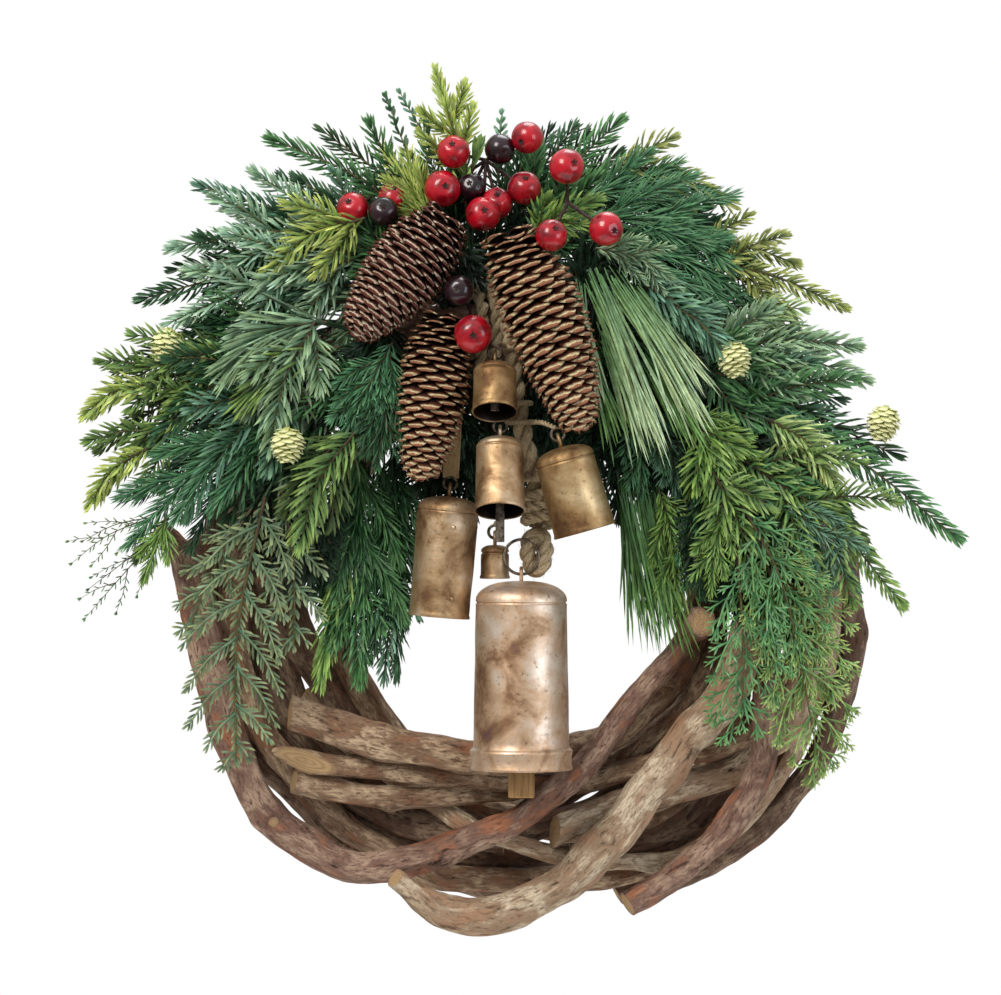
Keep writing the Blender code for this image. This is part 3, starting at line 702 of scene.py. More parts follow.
@lru_cache(maxsize=None)
def spike(stretches: int) -> tuple[Array, Array]:
    """A flat three-sided needle, one long and one wide, blunt at its tip.

    Args:
        stretches: how many stretches it bends in.

    Returns:
        Its corners, with X along it, Y across and Z out of its face, and its triangles.
    """
    bm = ringed_cone(3, 0.5, 0.001, stretches - 1)
    bmesh.ops.remove_doubles(bm, verts=[vert for vert in bm.verts if vert.co.z > 0.499], dist=0.01)
    patch = patch_from(bm)
    level = patch.corners[:, 2] + 0.5
    half = 0.5 * np.select([level < 0.01, level > 0.99], [0.6, 0.0], 1.08 - 0.3 * level)
    turn = np.arctan2(patch.corners[:, 1], patch.corners[:, 0])
    return np.column_stack([level**0.6, half * np.sin(turn), half * np.cos(turn)]), patch.faces


def tiled(shape: tuple[Array, Array], root: Array, ways: Sequence[Array], sizes: Array, bend: Array) -> Patch:
    """Copies of one small shape, each stretched, turned and bent to its place.

    Args:
        shape: the shape's corners and triangles.
        root: where each copy starts.
        ways: each copy's way along, across and out of its face.
        sizes: each copy's length, width and thickness.
        bend: how far each copy's tip is drawn aside.

    Returns:
        All the copies.
    """
    corners, faces = shape
    placed = root[:, None]
    for axis, way in enumerate(ways):
        placed = placed + corners[:, axis][None, :, None] * sizes[:, axis][:, None, None] * way[:, None]
    placed = placed + corners[:, 0][None, :, None] ** 2 * bend[:, None]
    shift = np.arange(len(root))[:, None, None] * len(corners)
    return Patch(placed.reshape(-1, 3), (faces[None] + shift).reshape(-1, 3))


# ---------------------------------------------------------------- reading the part


def merged(node: str) -> BMesh:
    """Copies a CAD node in millimetres, with its loose triangles joined.

    Args:
        node: the node.

    Returns:
        The copy.
    """
    bm = bmesh.new()
    bm.from_mesh(frame["nodes"][node].data)
    bmesh.ops.scale(bm, vec=(1 / MM,) * 3, verts=bm.verts[:])
    bmesh.ops.remove_doubles(bm, verts=bm.verts[:], dist=0.001)
    return bm


def spine(node: str, sides: int = 8) -> tuple[Array, Array]:
    """The middle line of a CAD tube, from its thicker end, or its right one if they are alike.

    Args:
        node: the tube's node.
        sides: how many faces go round it.

    Returns:
        The middles of its rings and their radii.
    """
    bm = merged(node)
    bm.verts.index_update()

    def gauge(ring: set) -> tuple[Vector, list[float]]:
        """Measures a ring of corners, in one order, so that it comes out the same each run.

        Args:
            ring: the corners.

        Returns:
            Their middle, and their distances from it.
        """
        verts = sorted(ring, key=lambda vert: vert.index)
        middle = sum((vert.co for vert in verts), Vector()) / len(verts)
        return middle, [(vert.co - middle).length for vert in verts]

    ends = []
    for vert in bm.verts:
        for face in vert.link_faces:
            flat = {v for other in bm.faces if other.normal.dot(face.normal) > 0.99999
                    and abs((other.verts[0].co - vert.co).dot(face.normal)) < 0.01
                    and (other.calc_center_median() - vert.co).length < 40 for v in other.verts}
            middle, spread = gauge(flat)
            if len(flat) == sides and max(spread) < 1.02 * min(spread):
                ends.append((round(max(spread), 3), middle.x, frozenset(flat)))
                break
        if len({end for *_, end in ends}) == 2:
            break
    ring = set(max(ends, key=lambda end: end[:2])[2])
    seen: set = set()
    middles, radii = [], []
    while ring:
        middle, spread = gauge(ring)
        middles.append(middle)
        radii.append(sum(spread) / len(ring))
        seen |= ring
        ring = {edge.other_vert(v) for v in ring for edge in v.link_edges} - seen
    bm.free()
    return np.array(middles), np.array(radii)


def poles(node: str) -> tuple[Array, Array, float]:
    """Finds the axis of a turned CAD solid.

    Args:
        node: the solid's node.

    Returns:
        Its upper and lower end, and the solid's greatest radius.
    """
    bm = merged(node)
    ends = sorted(bm.verts, key=lambda vert: -len(vert.link_edges))[:2]
    top, foot = sorted((np.array(vert.co) for vert in ends), key=lambda co: -co[2])
    axis = unit(foot - top)
    away = [np.array(vert.co) - top for vert in bm.verts]
    radius = max(float(np.linalg.norm(way - axis * (way @ axis))) for way in away)
    bm.free()
    return top, foot, radius


def box(node: str) -> tuple[Array, Array]:
    """A CAD node's low and high corner, in millimetres."""
    low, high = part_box(node)
    return np.array(low) / MM, np.array(high) / MM


def joint_place(name: str) -> Array:
    """Where a joint's hinge is, in millimetres from the hook."""
    found = next(joint for joint in frame["joints"] if joint["name"] == name)
    return np.array(found["pos_m"]) / MM


# ---------------------------------------------------------------- the ring of vines


@dataclass(frozen=True)
class Snag:
    """The stub of a side shoot.

    Attributes:
        share: how far along the vine it grows.
        turn: how far round, in degrees.
        length: its length.
        radius: its radius.
        lean: how far it leans ahead.
    """

    share: float
    turn: float
    length: float
    radius: float
    lean: float = 0.6


@dataclass(frozen=True)
class Runner:
    """A thin shoot woven round the ring: where it starts and ends, in degrees and from the middle, and its radius."""

    start: Point
    end: Point
    depth: float
    radius: float = 5.5

    def middles(self) -> Array:
        """Finds the points that it passes through.

        Returns:
            The points, in millimetres from the hook.
        """
        share = np.linspace(0, 1, 9)
        angle = np.radians(self.start[0] + (self.end[0] - self.start[0]) * share)
        reach = self.start[1] + (self.end[1] - self.start[1]) * share + 3.0 * np.sin(7.0 * share)
        ring = np.column_stack([reach * np.cos(angle), self.depth + 2.0 * np.cos(9.0 * share), reach * np.sin(angle)])
        return ring + RING_MIDDLE


@dataclass(frozen=True)
class Vine:
    """One vine of the ring, with its bark, its knots and its two cut ends.

    Attributes:
        node: the CAD node that it stands for.
        bark: its bark.
        butt_slant: how far the butt's cut runs along the vine for each unit across it.
        butt_faces: degrees round from the viewer that the butt's cut faces.
        snags: the stubs of its side shoots.
        nose: how thick the butt is against the vine behind it.
        runners: the thin shoots that are woven in with it.
        sides: how many faces go round it.
        station: the distance between its rings of corners.
        ridge: how high its ridges stand, as a share of its radius.
        cap_rings: how many rings close each end.
        nose_length: how far from the butt its nose thickens.
        tip_slant: how far the tip's cut runs along the vine for each unit across it.
        crook: how far it sways aside.
        crooks: how many crooks it has in a millimetre.
        knot_every: the distance between its knots.
    """

    node: str
    bark: VineBark
    butt_slant: float = 0.35
    butt_faces: float = 0.0
    snags: tuple[Snag, ...] = ()
    nose: float = 1.0
    runners: tuple[Runner, ...] = ()
    sides: int = 22
    station: float = 2.1
    ridge: float = 0.14
    cap_rings: int = 4
    nose_length: float = 26.0
    tip_slant: float = 0.3
    crook: float = 3.6
    crooks: float = 0.032
    knot_every: float = 50.0

    # The bark's waves: features a millimetre across and along the vine, what sets them apart, and their height.
    WAVES = ((0.10, 0.028, 11.3, 1.6), (0.42, 0.035, 5.9, 1.0), (0.8, 0.14, 3.7, 0.45))

    def build(self, number: int) -> None:
        """Makes the vine.

        Args:
            number: its place in the weave, which sets its knots.
        """
        random = np.random.default_rng(300 + number)
        middles, radii = spine(self.node)
        points = smooth(middles, self.station)
        line = Line(points + self.sway(points, number))
        radius = np.interp(np.linspace(0, 1, len(points)), np.linspace(0, 1, len(radii)), radii)
        radius *= 1 - (1 - self.nose) * np.exp(-((line.along / self.nose_length) ** 2))
        piece = Piece(self.node + "_bark", self.bark)
        piece.add(self.skin(line, radius, number, random))
        for snag in self.snags:
            piece.add(self.stub(line, radius, snag, number))
        for place, runner in enumerate(self.runners):
            shoot = Line(smooth(runner.middles(), self.station))
            thin = np.linspace(1.0, 0.8, len(shoot.points)) * runner.radius
            piece.add(self.skin(shoot, thin, 40 + 5 * number + place, random))
        piece.build("vine_bark", self.node)

    def sway(self, points: Array, number: int) -> Array:
        """Small crooks to the side, fading out at the ends, so that the vine doesn't run like a pipe.

        Args:
            points: the vine's middle.
            number: its place in the weave.

        Returns:
            How far each point moves.
        """
        drift = lumps([(self.crooks * k * self.station, 7.7 * number, 3.1) for k in range(len(points))])
        outward = unit((points - RING_MIDDLE) * (1.0, 0.0, 1.0))
        return outward * column(self.crook * drift * np.sin(np.pi * np.linspace(0, 1, len(points))))

    def skin(self, line: Line, radius: Array, number: int, random: np.random.Generator) -> Patch:
        """The bark and the cut ends, as one closed skin.

        Args:
            line: the vine's middle line.
            radius: its radius at each point of the line.
            number: its place in the weave.
            random: where its knots fall.

        Returns:
            The skin, marked with grain and with where it is cut.
        """
        caps = self.cap_rings
        growing = np.linspace(0, 1, caps + 1)[:-1]
        share = np.concatenate([growing, np.ones(len(line.points)), np.linspace(1, 0, caps + 1)[1:]])
        ring, side, faces = sleeve(self.sides, len(share))
        along = np.concatenate([np.zeros(caps), line.along, np.full(caps, line.length)])[ring]
        angle = side * math.tau / self.sides
        fill = share[ring]
        thick = np.interp(along, line.along, radius)
        slope = self.butt_slant * thick * (1 + fill * np.cos(angle - math.radians(self.butt_faces)))
        reach = max(1.0, 2.2 * self.butt_slant * radius[0])
        where = along + slope * np.clip(1 - along / (4 * reach), 0, 1)
        tail = self.tip_slant * thick * (1 + fill * np.cos(angle + 1.0))
        where -= tail * np.clip((along - line.length + 20) / 20, 0, 1)
        cut = fill < 0.99
        out = thick * fill * self.relief(where, angle, thick, number, random) * np.where(cut, 0.97, 1.0)
        place, _, up, aside = line.at(where)
        high, wide = out * np.cos(angle), out * np.sin(angle)
        grain = np.column_stack([high, wide, where + 61.0 * number])
        corners = place + column(high) * up + column(wide) * aside
        return Patch(corners, faces, {"grain": grain, "cut": cut.astype(float)})

    def relief(self, where: Array, angle: Array, thick: Array, number: int, random: np.random.Generator) -> Array:
        """How far each place on the bark stands out or in, as a share of the radius.

        Args:
            where: how far along the vine the places are.
            angle: how far round it.
            thick: the vine's radius there.
            number: its place in the weave.
            random: where its knots fall.

        Returns:
            The factors.
        """
        straight = np.column_stack([thick * np.cos(angle), thick * np.sin(angle), where])
        factor = np.ones(len(where))
        for wide, long, apart, height in self.WAVES:
            factor += height * self.ridge * lumps(straight * (wide, wide, long) + apart * number)
        factor += 0.03 * np.cos(2 * angle + 0.02 * where + number)
        length = float(where.max())
        for _ in range(int(length / self.knot_every)):
            here, turn = random.uniform(15, length - 15), random.uniform(0, math.tau)
            spread = random.uniform(3.0, 5.5)
            round_way = thick * np.angle(np.exp(1j * (angle - turn)))
            apart = ((where - here) / (1.7 * spread)) ** 2 + (round_way / spread) ** 2
            factor += random.uniform(0.12, 0.30) * np.exp(-apart)
            factor += 0.05 * np.exp(-(((where - here) / 6.0) ** 2))
        return factor

    def stub(self, line: Line, radius: Array, snag: Snag, number: int) -> Patch:
        """A side shoot's cut stub.

        Args:
            line: the vine's middle line.
            radius: its radius at each point.
            snag: the stub.
            number: the vine's place in the weave.

        Returns:
            The stub, with its cut end marked.
        """
        where = np.array([snag.share * line.length])
        place, ahead, up, aside = (row[0] for row in line.at(where))
        turn = math.radians(snag.turn)
        way = unit(math.cos(turn) * up + math.sin(turn) * aside + snag.lean * ahead)
        share = np.linspace(0, 1, 9)
        length = float(np.interp(where[0], line.along, radius)) + snag.length
        points = place + way * column(np.append(length * share, length + np.array([0.01, 0.02])))
        rings = snag.radius * np.append(1.25 - 0.25 * share, [0.55, 0.05])
        stem = Line(points, up=ahead)
        patch = tube(stem, rings, 14)
        ring, _, _ = sleeve(14, len(rings))
        rough = lumps(patch.marks["grain"] * 0.5 + number)
        patch.corners += unit(patch.corners - stem.points[ring]) * column(0.5 * rough)
        patch.marks["cut"] = (ring >= len(share)).astype(float)
        return patch


VINES = (
    Vine("vine_back_outer", BARK_DARK),
    Vine("vine_back_inner", BARK_BROWN),
    # The runners are thin dark-barked shoots laid behind the front vines: partly woven shoots, partly painted shade
    # that fills the gaps between the vines.
    Vine("vine_back_middle", BARK_DARK, sides=16, runners=(
        Runner((188, 152), (252, 158), -4, 6.5), Runner((190, 127), (266, 131), -5, 6.5),
        Runner((172, 120), (226, 110), -5, 8.0), Runner((230, 158), (268, 157), -3, 6.5),
        Runner((304, 158), (350, 160), -4, 6.5), Runner((222, 140), (296, 142), -3, 7.0),
        Runner((278, 136), (344, 144), -4, 6.5), Runner((286, 152), (340, 132), -5, 6.0),
        Runner((162, 146), (204, 138), -4, 6.0), Runner((308, 160), (344, 163), -2, 5.0),
        Runner((306, 100), (330, 94), -6, 5.0), Runner((196, 163), (236, 161), -4, 6.5),
        Runner((178, 127), (216, 117), -6, 6.5), Runner((262, 112), (300, 106), -6, 6.0),
    )),
    Vine("vine_lower_hoop", BARK_BROWN),
    Vine("vine_thin_cross", BARK_PALE),
    Vine("vine_low_right", BARK_DARK),
    Vine("vine_pair_lower", BARK_BROWN),
    Vine("vine_cut_right", BARK_PALE, 0.5, -60.0),
    Vine("vine_pair_upper", BARK_BROWN, 3.2, 20.0),
    Vine("vine_butt_left", BARK_BROWN, 0.30, 40.0, (Snag(0.355, -30, 9, 6.5, -0.3),)),
    Vine("vine_red_right", BARK_RED, snags=(Snag(0.62, 60, 5, 3.6), Snag(0.86, 200, 5, 4.0))),
    Vine("vine_fork_left", BARK_RED, 0.5, 60.0, (
        Snag(0.028, 70, 13, 5.5, -1.4), Snag(0.31, -10, 3, 3.2), Snag(0.888, 15, 15, 7.6, 0.1),
    )),
    Vine("vine_pale_front", BARK_PALE, 0.4, 0.0, nose=0.5),
)


# ---------------------------------------------------------------- evergreens


class Hue(Enum):
    """The colours of the sprays' needles: at the foot, and at the tip."""

    SHADOW = ("#12251A", "#29492F")
    DEEP = ("#1C4028", "#44774C")
    FOREST = ("#285632", "#6CA868")
    BLUE_GREEN = ("#2E5E48", "#83B494")
    TEAL = ("#669A76", "#CEF0D0")
    EMERALD = ("#255C3D", "#70AE7A")
    SAGE = ("#4E7758", "#B2D4A6")
    MOSS = ("#3A6834", "#A2C46C")
    GRASS = ("#437A38", "#A8CC6A")
    OLIVE = ("#607A38", "#C6CF7A")
    LIME = ("#82A646", "#DCEA84")
    LEMON = ("#7FA456", "#D8EA9C")
    MINT = ("#76A757", "#CEE8A8")
    PINE = ("#6A9A5E", "#CDE6B6")
    TUFT = ("#33632E", "#7AAA5A")
    FROND = ("#4A7259", "#A6B382")
    CEDAR = ("#36764C", "#8CBE76")
    CEDAR_TIP = ("#4E8448", "#BCD07C")


@dataclass(frozen=True)
class Growth:
    """How a shoot is clothed: its needles' size and set, and its side shoots.

    Attributes:
        needle: a needle's length.
        width: a needle's width.
        pitch: the distance between needles in one row.
        opening: degrees between a needle and its shoot.
        rows: where the rows stand round the shoot, in degrees; 0 and 180 are its sides, and 90 faces forward.
        curl: how far a needle's tip is drawn forward, as a share of its length.
        droop: how far it sags, as a share of its length.
        stem: the shoot's radius at its foot.
        branching: degrees between a side shoot and its stem.
        depth: a needle's thickness, as a share of its width.
        side_pitch: the distance between the side shoots of a frond, or 0 where the spray counts its own.
        side_length: a frond's longest side shoot.
        stretches: how many stretches a needle bends in.
        forked: whether each needle forks in three, as a cypress's branchlet does.
        tuft: how many needles close its tip.
    """

    needle: float
    width: float
    pitch: float
    opening: float
    rows: tuple[float, ...]
    curl: float = 0.12
    droop: float = 0.0
    stem: float = 1.0
    branching: float = 42.0
    depth: float = 0.5
    side_pitch: float = 0.0
    side_length: float = 0.0
    stretches: int = 3
    forked: bool = False
    tuft: int = 7


class Habit(Enum):
    """The kinds of spray in the wreath."""

    SPRUCE = Growth(13.5, 1.55, 2.9, 52.0, (-6.0, 186.0, 56.0, 124.0), curl=0.26)
    FIR = Growth(16.5, 1.75, 3.2, 56.0, (0.0, 180.0, 50.0, 130.0), curl=0.30)
    SHORT_FIR = Growth(10.5, 1.65, 2.7, 54.0, (0.0, 180.0, 50.0, 130.0), curl=0.28)
    SOFT = Growth(13.0, 1.15, 2.1, 32.0, (0.0, 180.0, 50.0, 130.0, 90.0), curl=0.1, branching=28.0, stretches=2)
    BRUSH = Growth(11.0, 1.5, 2.5, 44.0, (0.0, 60.0, 120.0, 180.0, 250.0, 300.0), curl=0.16)
    JUNIPER = Growth(8.0, 1.1, 2.2, 40.0, (0.0, 180.0, 60.0, 120.0), branching=36.0, stem=0.7, stretches=2)
    PINE = Growth(29.0, 1.4, 3.0, 26.0, (0.0, 180.0, 50.0, 130.0), curl=0.06, droop=0.1, stretches=4)
    THICKET = Growth(14.0, 2.0, 2.9, 50.0, (0.0, 180.0, 55.0, 125.0), curl=0.1, branching=34.0, stretches=2)
    BLADES = Growth(17.0, 3.2, 8.0, 20.0, (20.0, 160.0, 90.0), curl=0.05, depth=0.2)
    SPRIG = Growth(6.0, 2.2, 4.2, 42.0, (0.0, 180.0, 90.0), depth=0.3, stem=0.6)
    WISP = Growth(4.0, 0.9, 5.0, 40.0, (0.0, 180.0), stem=0.35, branching=30.0, stretches=2)
    THUJA = Growth(
        8.0, 1.6, 3.1, 46.0, (0.0, 180.0), curl=0.22, depth=0.5, stem=1.1, branching=48.0, side_pitch=17.0,
        side_length=38.0, tuft=2,
    )
    CEDAR = Growth(
        14.5, 1.5, 7.5, 34.0, (0.0, 180.0), curl=0.14, depth=0.9, stem=1.0, branching=38.0, side_pitch=19.0,
        side_length=40.0, forked=True, tuft=2, stretches=2,
    )


@dataclass(frozen=True)
class Spray:
    """One spray, seen from the front.

    Attributes:
        habit: its kind.
        foot: where its needles start, to the right of and above the ring's middle.
        tip: where it ends.
        hue: its colours.
        forward: how far it stands in front of its bough.
        bow: how far it arches, to the left of its way.
        shoots: how many side shoots it has on each side.
        fill: how many darker shoots lie behind it.
        size: its needles' size against its kind's.
    """

    habit: Habit
    foot: Point
    tip: Point
    hue: Hue
    forward: float = 0.0
    bow: float = 0.0
    shoots: int = 1
    fill: int = 2
    size: float = 1.0


@dataclass(frozen=True)
class Fall:
    """A bunch of long limp pine needles that fall from one node.

    Attributes:
        foot: the node that they grow from.
        low: the angle of the steepest, in degrees from the right.
        high: the angle of the flattest.
        length: their length.
        count: how many there are.
        hue: their colours.
        forward: how far they stand in front of their bough.
        sag: how far their tips sag, as a share of their length.
    """

    foot: Point
    low: float
    high: float
    length: float
    count: int
    hue: Hue
    forward: float = 0.0
    sag: float = 0.12


class Bough:
    """One bough: its sprays, gathered in one piece that stands for its CAD solid."""

    STEM_HUE = ("#4A3B26", "#6D6A3A")
    # Painted shade: the shoots behind are coloured darker by this tone.
    SHADE = 0.42  # how bright the shoots behind are
    FORKS = ((-1.0, 0.30, 0.50), (1.0, 0.50, 0.42), (-1.0, 0.66, 0.30))  # a fork's hand, its place and its length
    SETBACK = 7.0  # how far the shoots behind stand back
    STEP = 3.0  # the distance between a shoot's rings

    def __init__(self, node: str, root: Point, sprays: Sequence[Spray | Fall], number: int) -> None:
        """Places the bough over its CAD solid.

        Args:
            node: the CAD node.
            root: where its stems meet the ring, seen from the front.
            sprays: what it carries.
            number: its place in the pile, which seeds its small differences.
        """
        self.node = node
        self.sprays = sprays
        self.random = np.random.default_rng(900 + number)
        front, back = (corner[1] for corner in box(node))
        self.depth = front + 5.0
        self.lean = max(0.0, back - front - 9.0)
        self.root = self.spot(root, 0.0, 0.0)
        self.piece = Piece(node + "_needles", NEEDLE)
        self.needles: dict[int, list[tuple[Array, ...]]] = {}

    def spot(self, place: Point, forward: float, share: float) -> Array:
        """A place on a spray, in millimetres from the hook.

        Args:
            place: where it is, to the right of and above the ring's middle.
            forward: how far the spray stands forward.
            share: how far along the spray it is, from 0 to 1.

        Returns:
            The place.
        """
        return np.array([place[0], self.depth - forward + self.lean * share**2, place[1] + RING_MIDDLE[2]])

    def build(self) -> None:
        """Lays every spray and makes the piece."""
        for spray in self.sprays:
            if isinstance(spray, Fall):
                self.let_fall(spray)
            else:
                self.lay(spray)
        for stretches, rows in self.needles.items():
            root, way, aside, face, sizes, bend, foot, tip = (np.concatenate(part) for part in zip(*rows))
            shape = spike(stretches)
            patch = tiled(shape, root, (way, aside, face), sizes, bend)
            along = column(np.tile(shape[0][:, 0], len(root))) ** 1.3
            foot, tip = (np.repeat(end, len(shape[0]), axis=0) for end in (foot, tip))
            patch.marks["leaf"] = np.column_stack([foot * (1 - along) + tip * along, np.ones(len(along))])
            self.piece.add(patch)
        self.piece.build("evergreen", self.node, sharp=75.0)

    def lay(self, spray: Spray) -> None:
        """Lays a spray with its side shoots and the darker shoots behind it.

        Args:
            spray: the spray.
        """
        growth = spray.habit.value
        foot = self.spot(spray.foot, spray.forward, 0.35)
        tip = self.spot(spray.tip, spray.forward, 1.0)
        tip -= unit(tip - foot) * 0.45 * growth.needle * spray.size
        way = tip - foot
        left = np.array([-way[2], 0.0, way[0]]) / max(1e-6, np.hypot(way[0], way[2]))
        middle = 0.5 * (foot + tip) + left * spray.bow + VIEWER * 3.0
        hidden = smooth([self.root - VIEWER * 5.0, 0.5 * (self.root + foot) - VIEWER * 7.0, foot], 9.0)
        self.stem(Line(hidden), 0.8 * growth.stem, 0.7 * growth.stem, Hue.SHADOW)
        line = Line(smooth([foot, middle, tip], self.STEP))
        self.stem(line, growth.stem, 0.35 * growth.stem)
        if growth.side_pitch:
            self.frond(line, spray)
        else:
            self.clothe(line, spray, 1.0, spray.size)
            self.branch(line, spray)
        for k in range(spray.fill):
            self.back_up(line, spray, k)

    def branch(self, line: Line, spray: Spray) -> None:
        """Grows side shoots in pairs, shorter towards the tip.

        Args:
            line: the spray's stem.
            spray: the spray.
        """
        growth = spray.habit.value
        for k in range(spray.shoots):
            for hand in (-1.0, 1.0):
                share = (0.16 + 0.62 * k / max(1, spray.shoots)) + 0.07 * hand + self.random.uniform(-0.03, 0.03)
                length = line.length * (0.50 - 0.30 * share) * self.random.uniform(0.85, 1.1)
                shoot = self.side_shoot(line, share, hand, growth.branching, length)
                self.stem(shoot, 0.75 * growth.stem, 0.3 * growth.stem)
                self.clothe(shoot, spray, 0.92, 0.92 * spray.size)

    def side_shoot(self, line: Line, share: float, hand: float, opening: float, length: float) -> Line:
        """A side shoot's line, curving back towards its parent's way.

        Args:
            line: the shoot that it grows from.
            share: how far along that shoot.
            hand: -1 or 1, for its side.
            opening: degrees between the two.
            length: its length.

        Returns:
            The line.
        """
        place, ahead, up, side = (row[0] for row in line.at(np.array([share * line.length])))
        turn = math.radians(opening + self.random.uniform(-5, 5))
        way = math.cos(turn) * ahead + math.sin(turn) * hand * side + 0.10 * up
        late = unit(way + 0.45 * ahead + 0.06 * DOWN)
        bend, end = place + 0.5 * length * unit(way), place + length * unit(way + late)
        return Line(smooth([place, bend, end], self.STEP))

    def frond(self, line: Line, spray: Spray) -> None:
        """Grows flat side shoots all along the stem, each clothed on both sides.

        Args:
            line: the stem.
            spray: the spray.
        """
        growth = spray.habit.value
        count = int(line.length / growth.side_pitch)
        for k in range(count):
            share = (k + 0.5) / count
            for hand in (-1.0, 1.0):
                swell = math.sin(math.pi * min(1.0, 0.22 + 0.80 * share)) ** 0.7
                length = spray.size * growth.side_length * max(0.28, swell) * self.random.uniform(0.82, 1.08)
                at = min(0.99, share + 0.25 * (hand > 0) / count)
                shoot = self.side_shoot(line, at, hand, growth.branching, length)
                self.stem(shoot, 0.75 * growth.stem, 0.4 * growth.stem, spray.hue)
                self.clothe(shoot, spray, self.random.uniform(0.85, 1.12), 1.0)
        self.clothe(line, spray, 0.95, 0.9)

    def back_up(self, line: Line, spray: Spray, number: int) -> None:
        """Lays a shorter shoot behind a spray, darkened with painted shade, to close the gaps that show between its
        needles.

        Args:
            line: the spray's stem.
            spray: the spray.
            number: the shoot's number, which sets its side.
        """
        growth = spray.habit.value
        turn = (-1.0 if number % 2 else 1.0) * self.random.uniform(9.0, 17.0)
        rotation = np.array(Matrix.Rotation(math.radians(turn), 3, "Y"))
        start = line.points[0]
        shorter = (line.points - start) @ rotation.T * self.random.uniform(0.66, 0.86)
        shoot = Line(shorter + start - VIEWER * self.SETBACK)
        self.stem(shoot, growth.stem, 0.4 * growth.stem)
        # Painted shade: the shoot behind is coloured at the darker SHADE tone.
        self.clothe(shoot, spray, self.SHADE, spray.size, 1.35)

    def stem(self, line: Line, foot: float, tip: float, leafy: Hue | None = None) -> None:
        """Lays a twig along a line.

        Args:
            line: the line.
            foot: its radius at its foot.
            tip: its radius at its tip.
            leafy: the hue of a green twig, or None for a woody one.
        """
        patch = tube(line, np.linspace(foot, tip, len(line.points)), 5)
        dark, light = (np.array(linear(code)) for code in (leafy.value if leafy else self.STEM_HUE))
        share = column(patch.marks.pop("grain")[:, 2] / line.length)
        patch.marks["leaf"] = dark * (1 - share) + light * share
        self.piece.add(patch)

    def clothe(self, line: Line, spray: Spray, tone: float, size: float, thin: float = 1.0) -> None:
        """Sets rows of needles along a shoot, and a tuft at its tip.

        Args:
            line: the shoot.
            spray: the spray that it is in.
            tone: how bright it is.
            size: its needles' size against its kind's.
            thin: how much further apart its needles stand.
        """
        growth, random = spray.habit.value, self.random
        for row in growth.rows:
            pitch = growth.pitch * thin * (1.0 + 0.5 * abs(math.sin(math.radians(row))))
            count = int(line.length / pitch)
            if count < 1:
                continue
            where = np.clip((np.arange(count) + random.uniform(0.1, 0.9, count)) * pitch, 0, line.length)
            share = where / line.length
            opening = growth.opening * (1 - 0.42 * share**3) + random.normal(0, 5.0, count)
            turn = row + random.normal(0, 9.0, count)
            swell = np.minimum(1.0, 0.72 + 2.0 * share) * (1 - 0.34 * share**3)
            length = growth.needle * size * swell * random.uniform(0.84, 1.10, count)
            self.set_needles(line, spray, tone, where, opening, turn, length)
        where = np.full(growth.tuft, line.length - 0.4)
        opening = random.uniform(4.0, 26.0, growth.tuft)
        turn = np.arange(growth.tuft) * 360.0 / growth.tuft
        length = growth.needle * size * random.uniform(0.5, 0.68, growth.tuft)
        self.set_needles(line, spray, tone * 1.08, where, opening, turn, length)

    def set_needles(self, line: Line, spray: Spray, tone: float, *stand: Array) -> None:
        """Sets needles on a shoot.

        Args:
            line: the shoot.
            spray: the spray that it is in.
            tone: how bright they are.
            stand: how far along it each stands, degrees between the two, degrees round it, and each one's length.
        """
        growth = spray.habit.value
        where, opening, turn, length = stand
        place, ahead, up, side = line.at(where)
        tilt, roll = column(np.radians(opening)), column(np.radians(turn))
        way = unit(np.cos(tilt) * ahead + np.sin(tilt) * (np.cos(roll) * side + np.sin(roll) * up))
        twist = column(self.random.normal(0, 0.35, len(where)))
        face = unit(square(up, way))
        aside = np.cross(face, way)
        face, aside = face * np.cos(twist) + aside * np.sin(twist), aside * np.cos(twist) - face * np.sin(twist)
        bend = column(length) * (growth.curl * square(ahead, way) + growth.droop * DOWN)
        width = growth.width * self.random.uniform(0.85, 1.12, len(where))
        sizes = np.column_stack([length, width, width * growth.depth])
        self.note(growth.stretches, spray.hue, tone, place, way, aside, face, sizes, bend)
        if growth.forked:
            for hand, share, part in self.FORKS:
                split = unit(way + hand * 0.75 * aside)
                start = place + way * column(share * length) + bend * share**2
                stand = start, split, np.cross(face, split), face, sizes * (part, 0.85, 0.85), part * bend
                self.note(growth.stretches, spray.hue, tone * 1.1, *stand)

    def note(self, stretches: int, hue: Hue, tone: float, *needles: Array) -> None:
        """Adds needles to the bough's list, each a little lighter, darker or yellower than the next.

        Args:
            stretches: how many stretches they bend in.
            hue: their colours.
            tone: how bright they are.
            needles: where they start, their ways along, across and out of the face, their sizes and their bend.
        """
        count = len(needles[0])
        bright = column(tone * self.random.uniform(0.72, 1.22, count))
        warm = column(self.random.uniform(-0.10, 0.12, count)) * np.array([1.0, 0.35, -0.6])
        ends = (np.clip(np.array(linear(code)[:3]) * bright * (1 + warm), 0, 1) for code in hue.value)
        self.needles.setdefault(stretches, []).append((*needles, *ends))

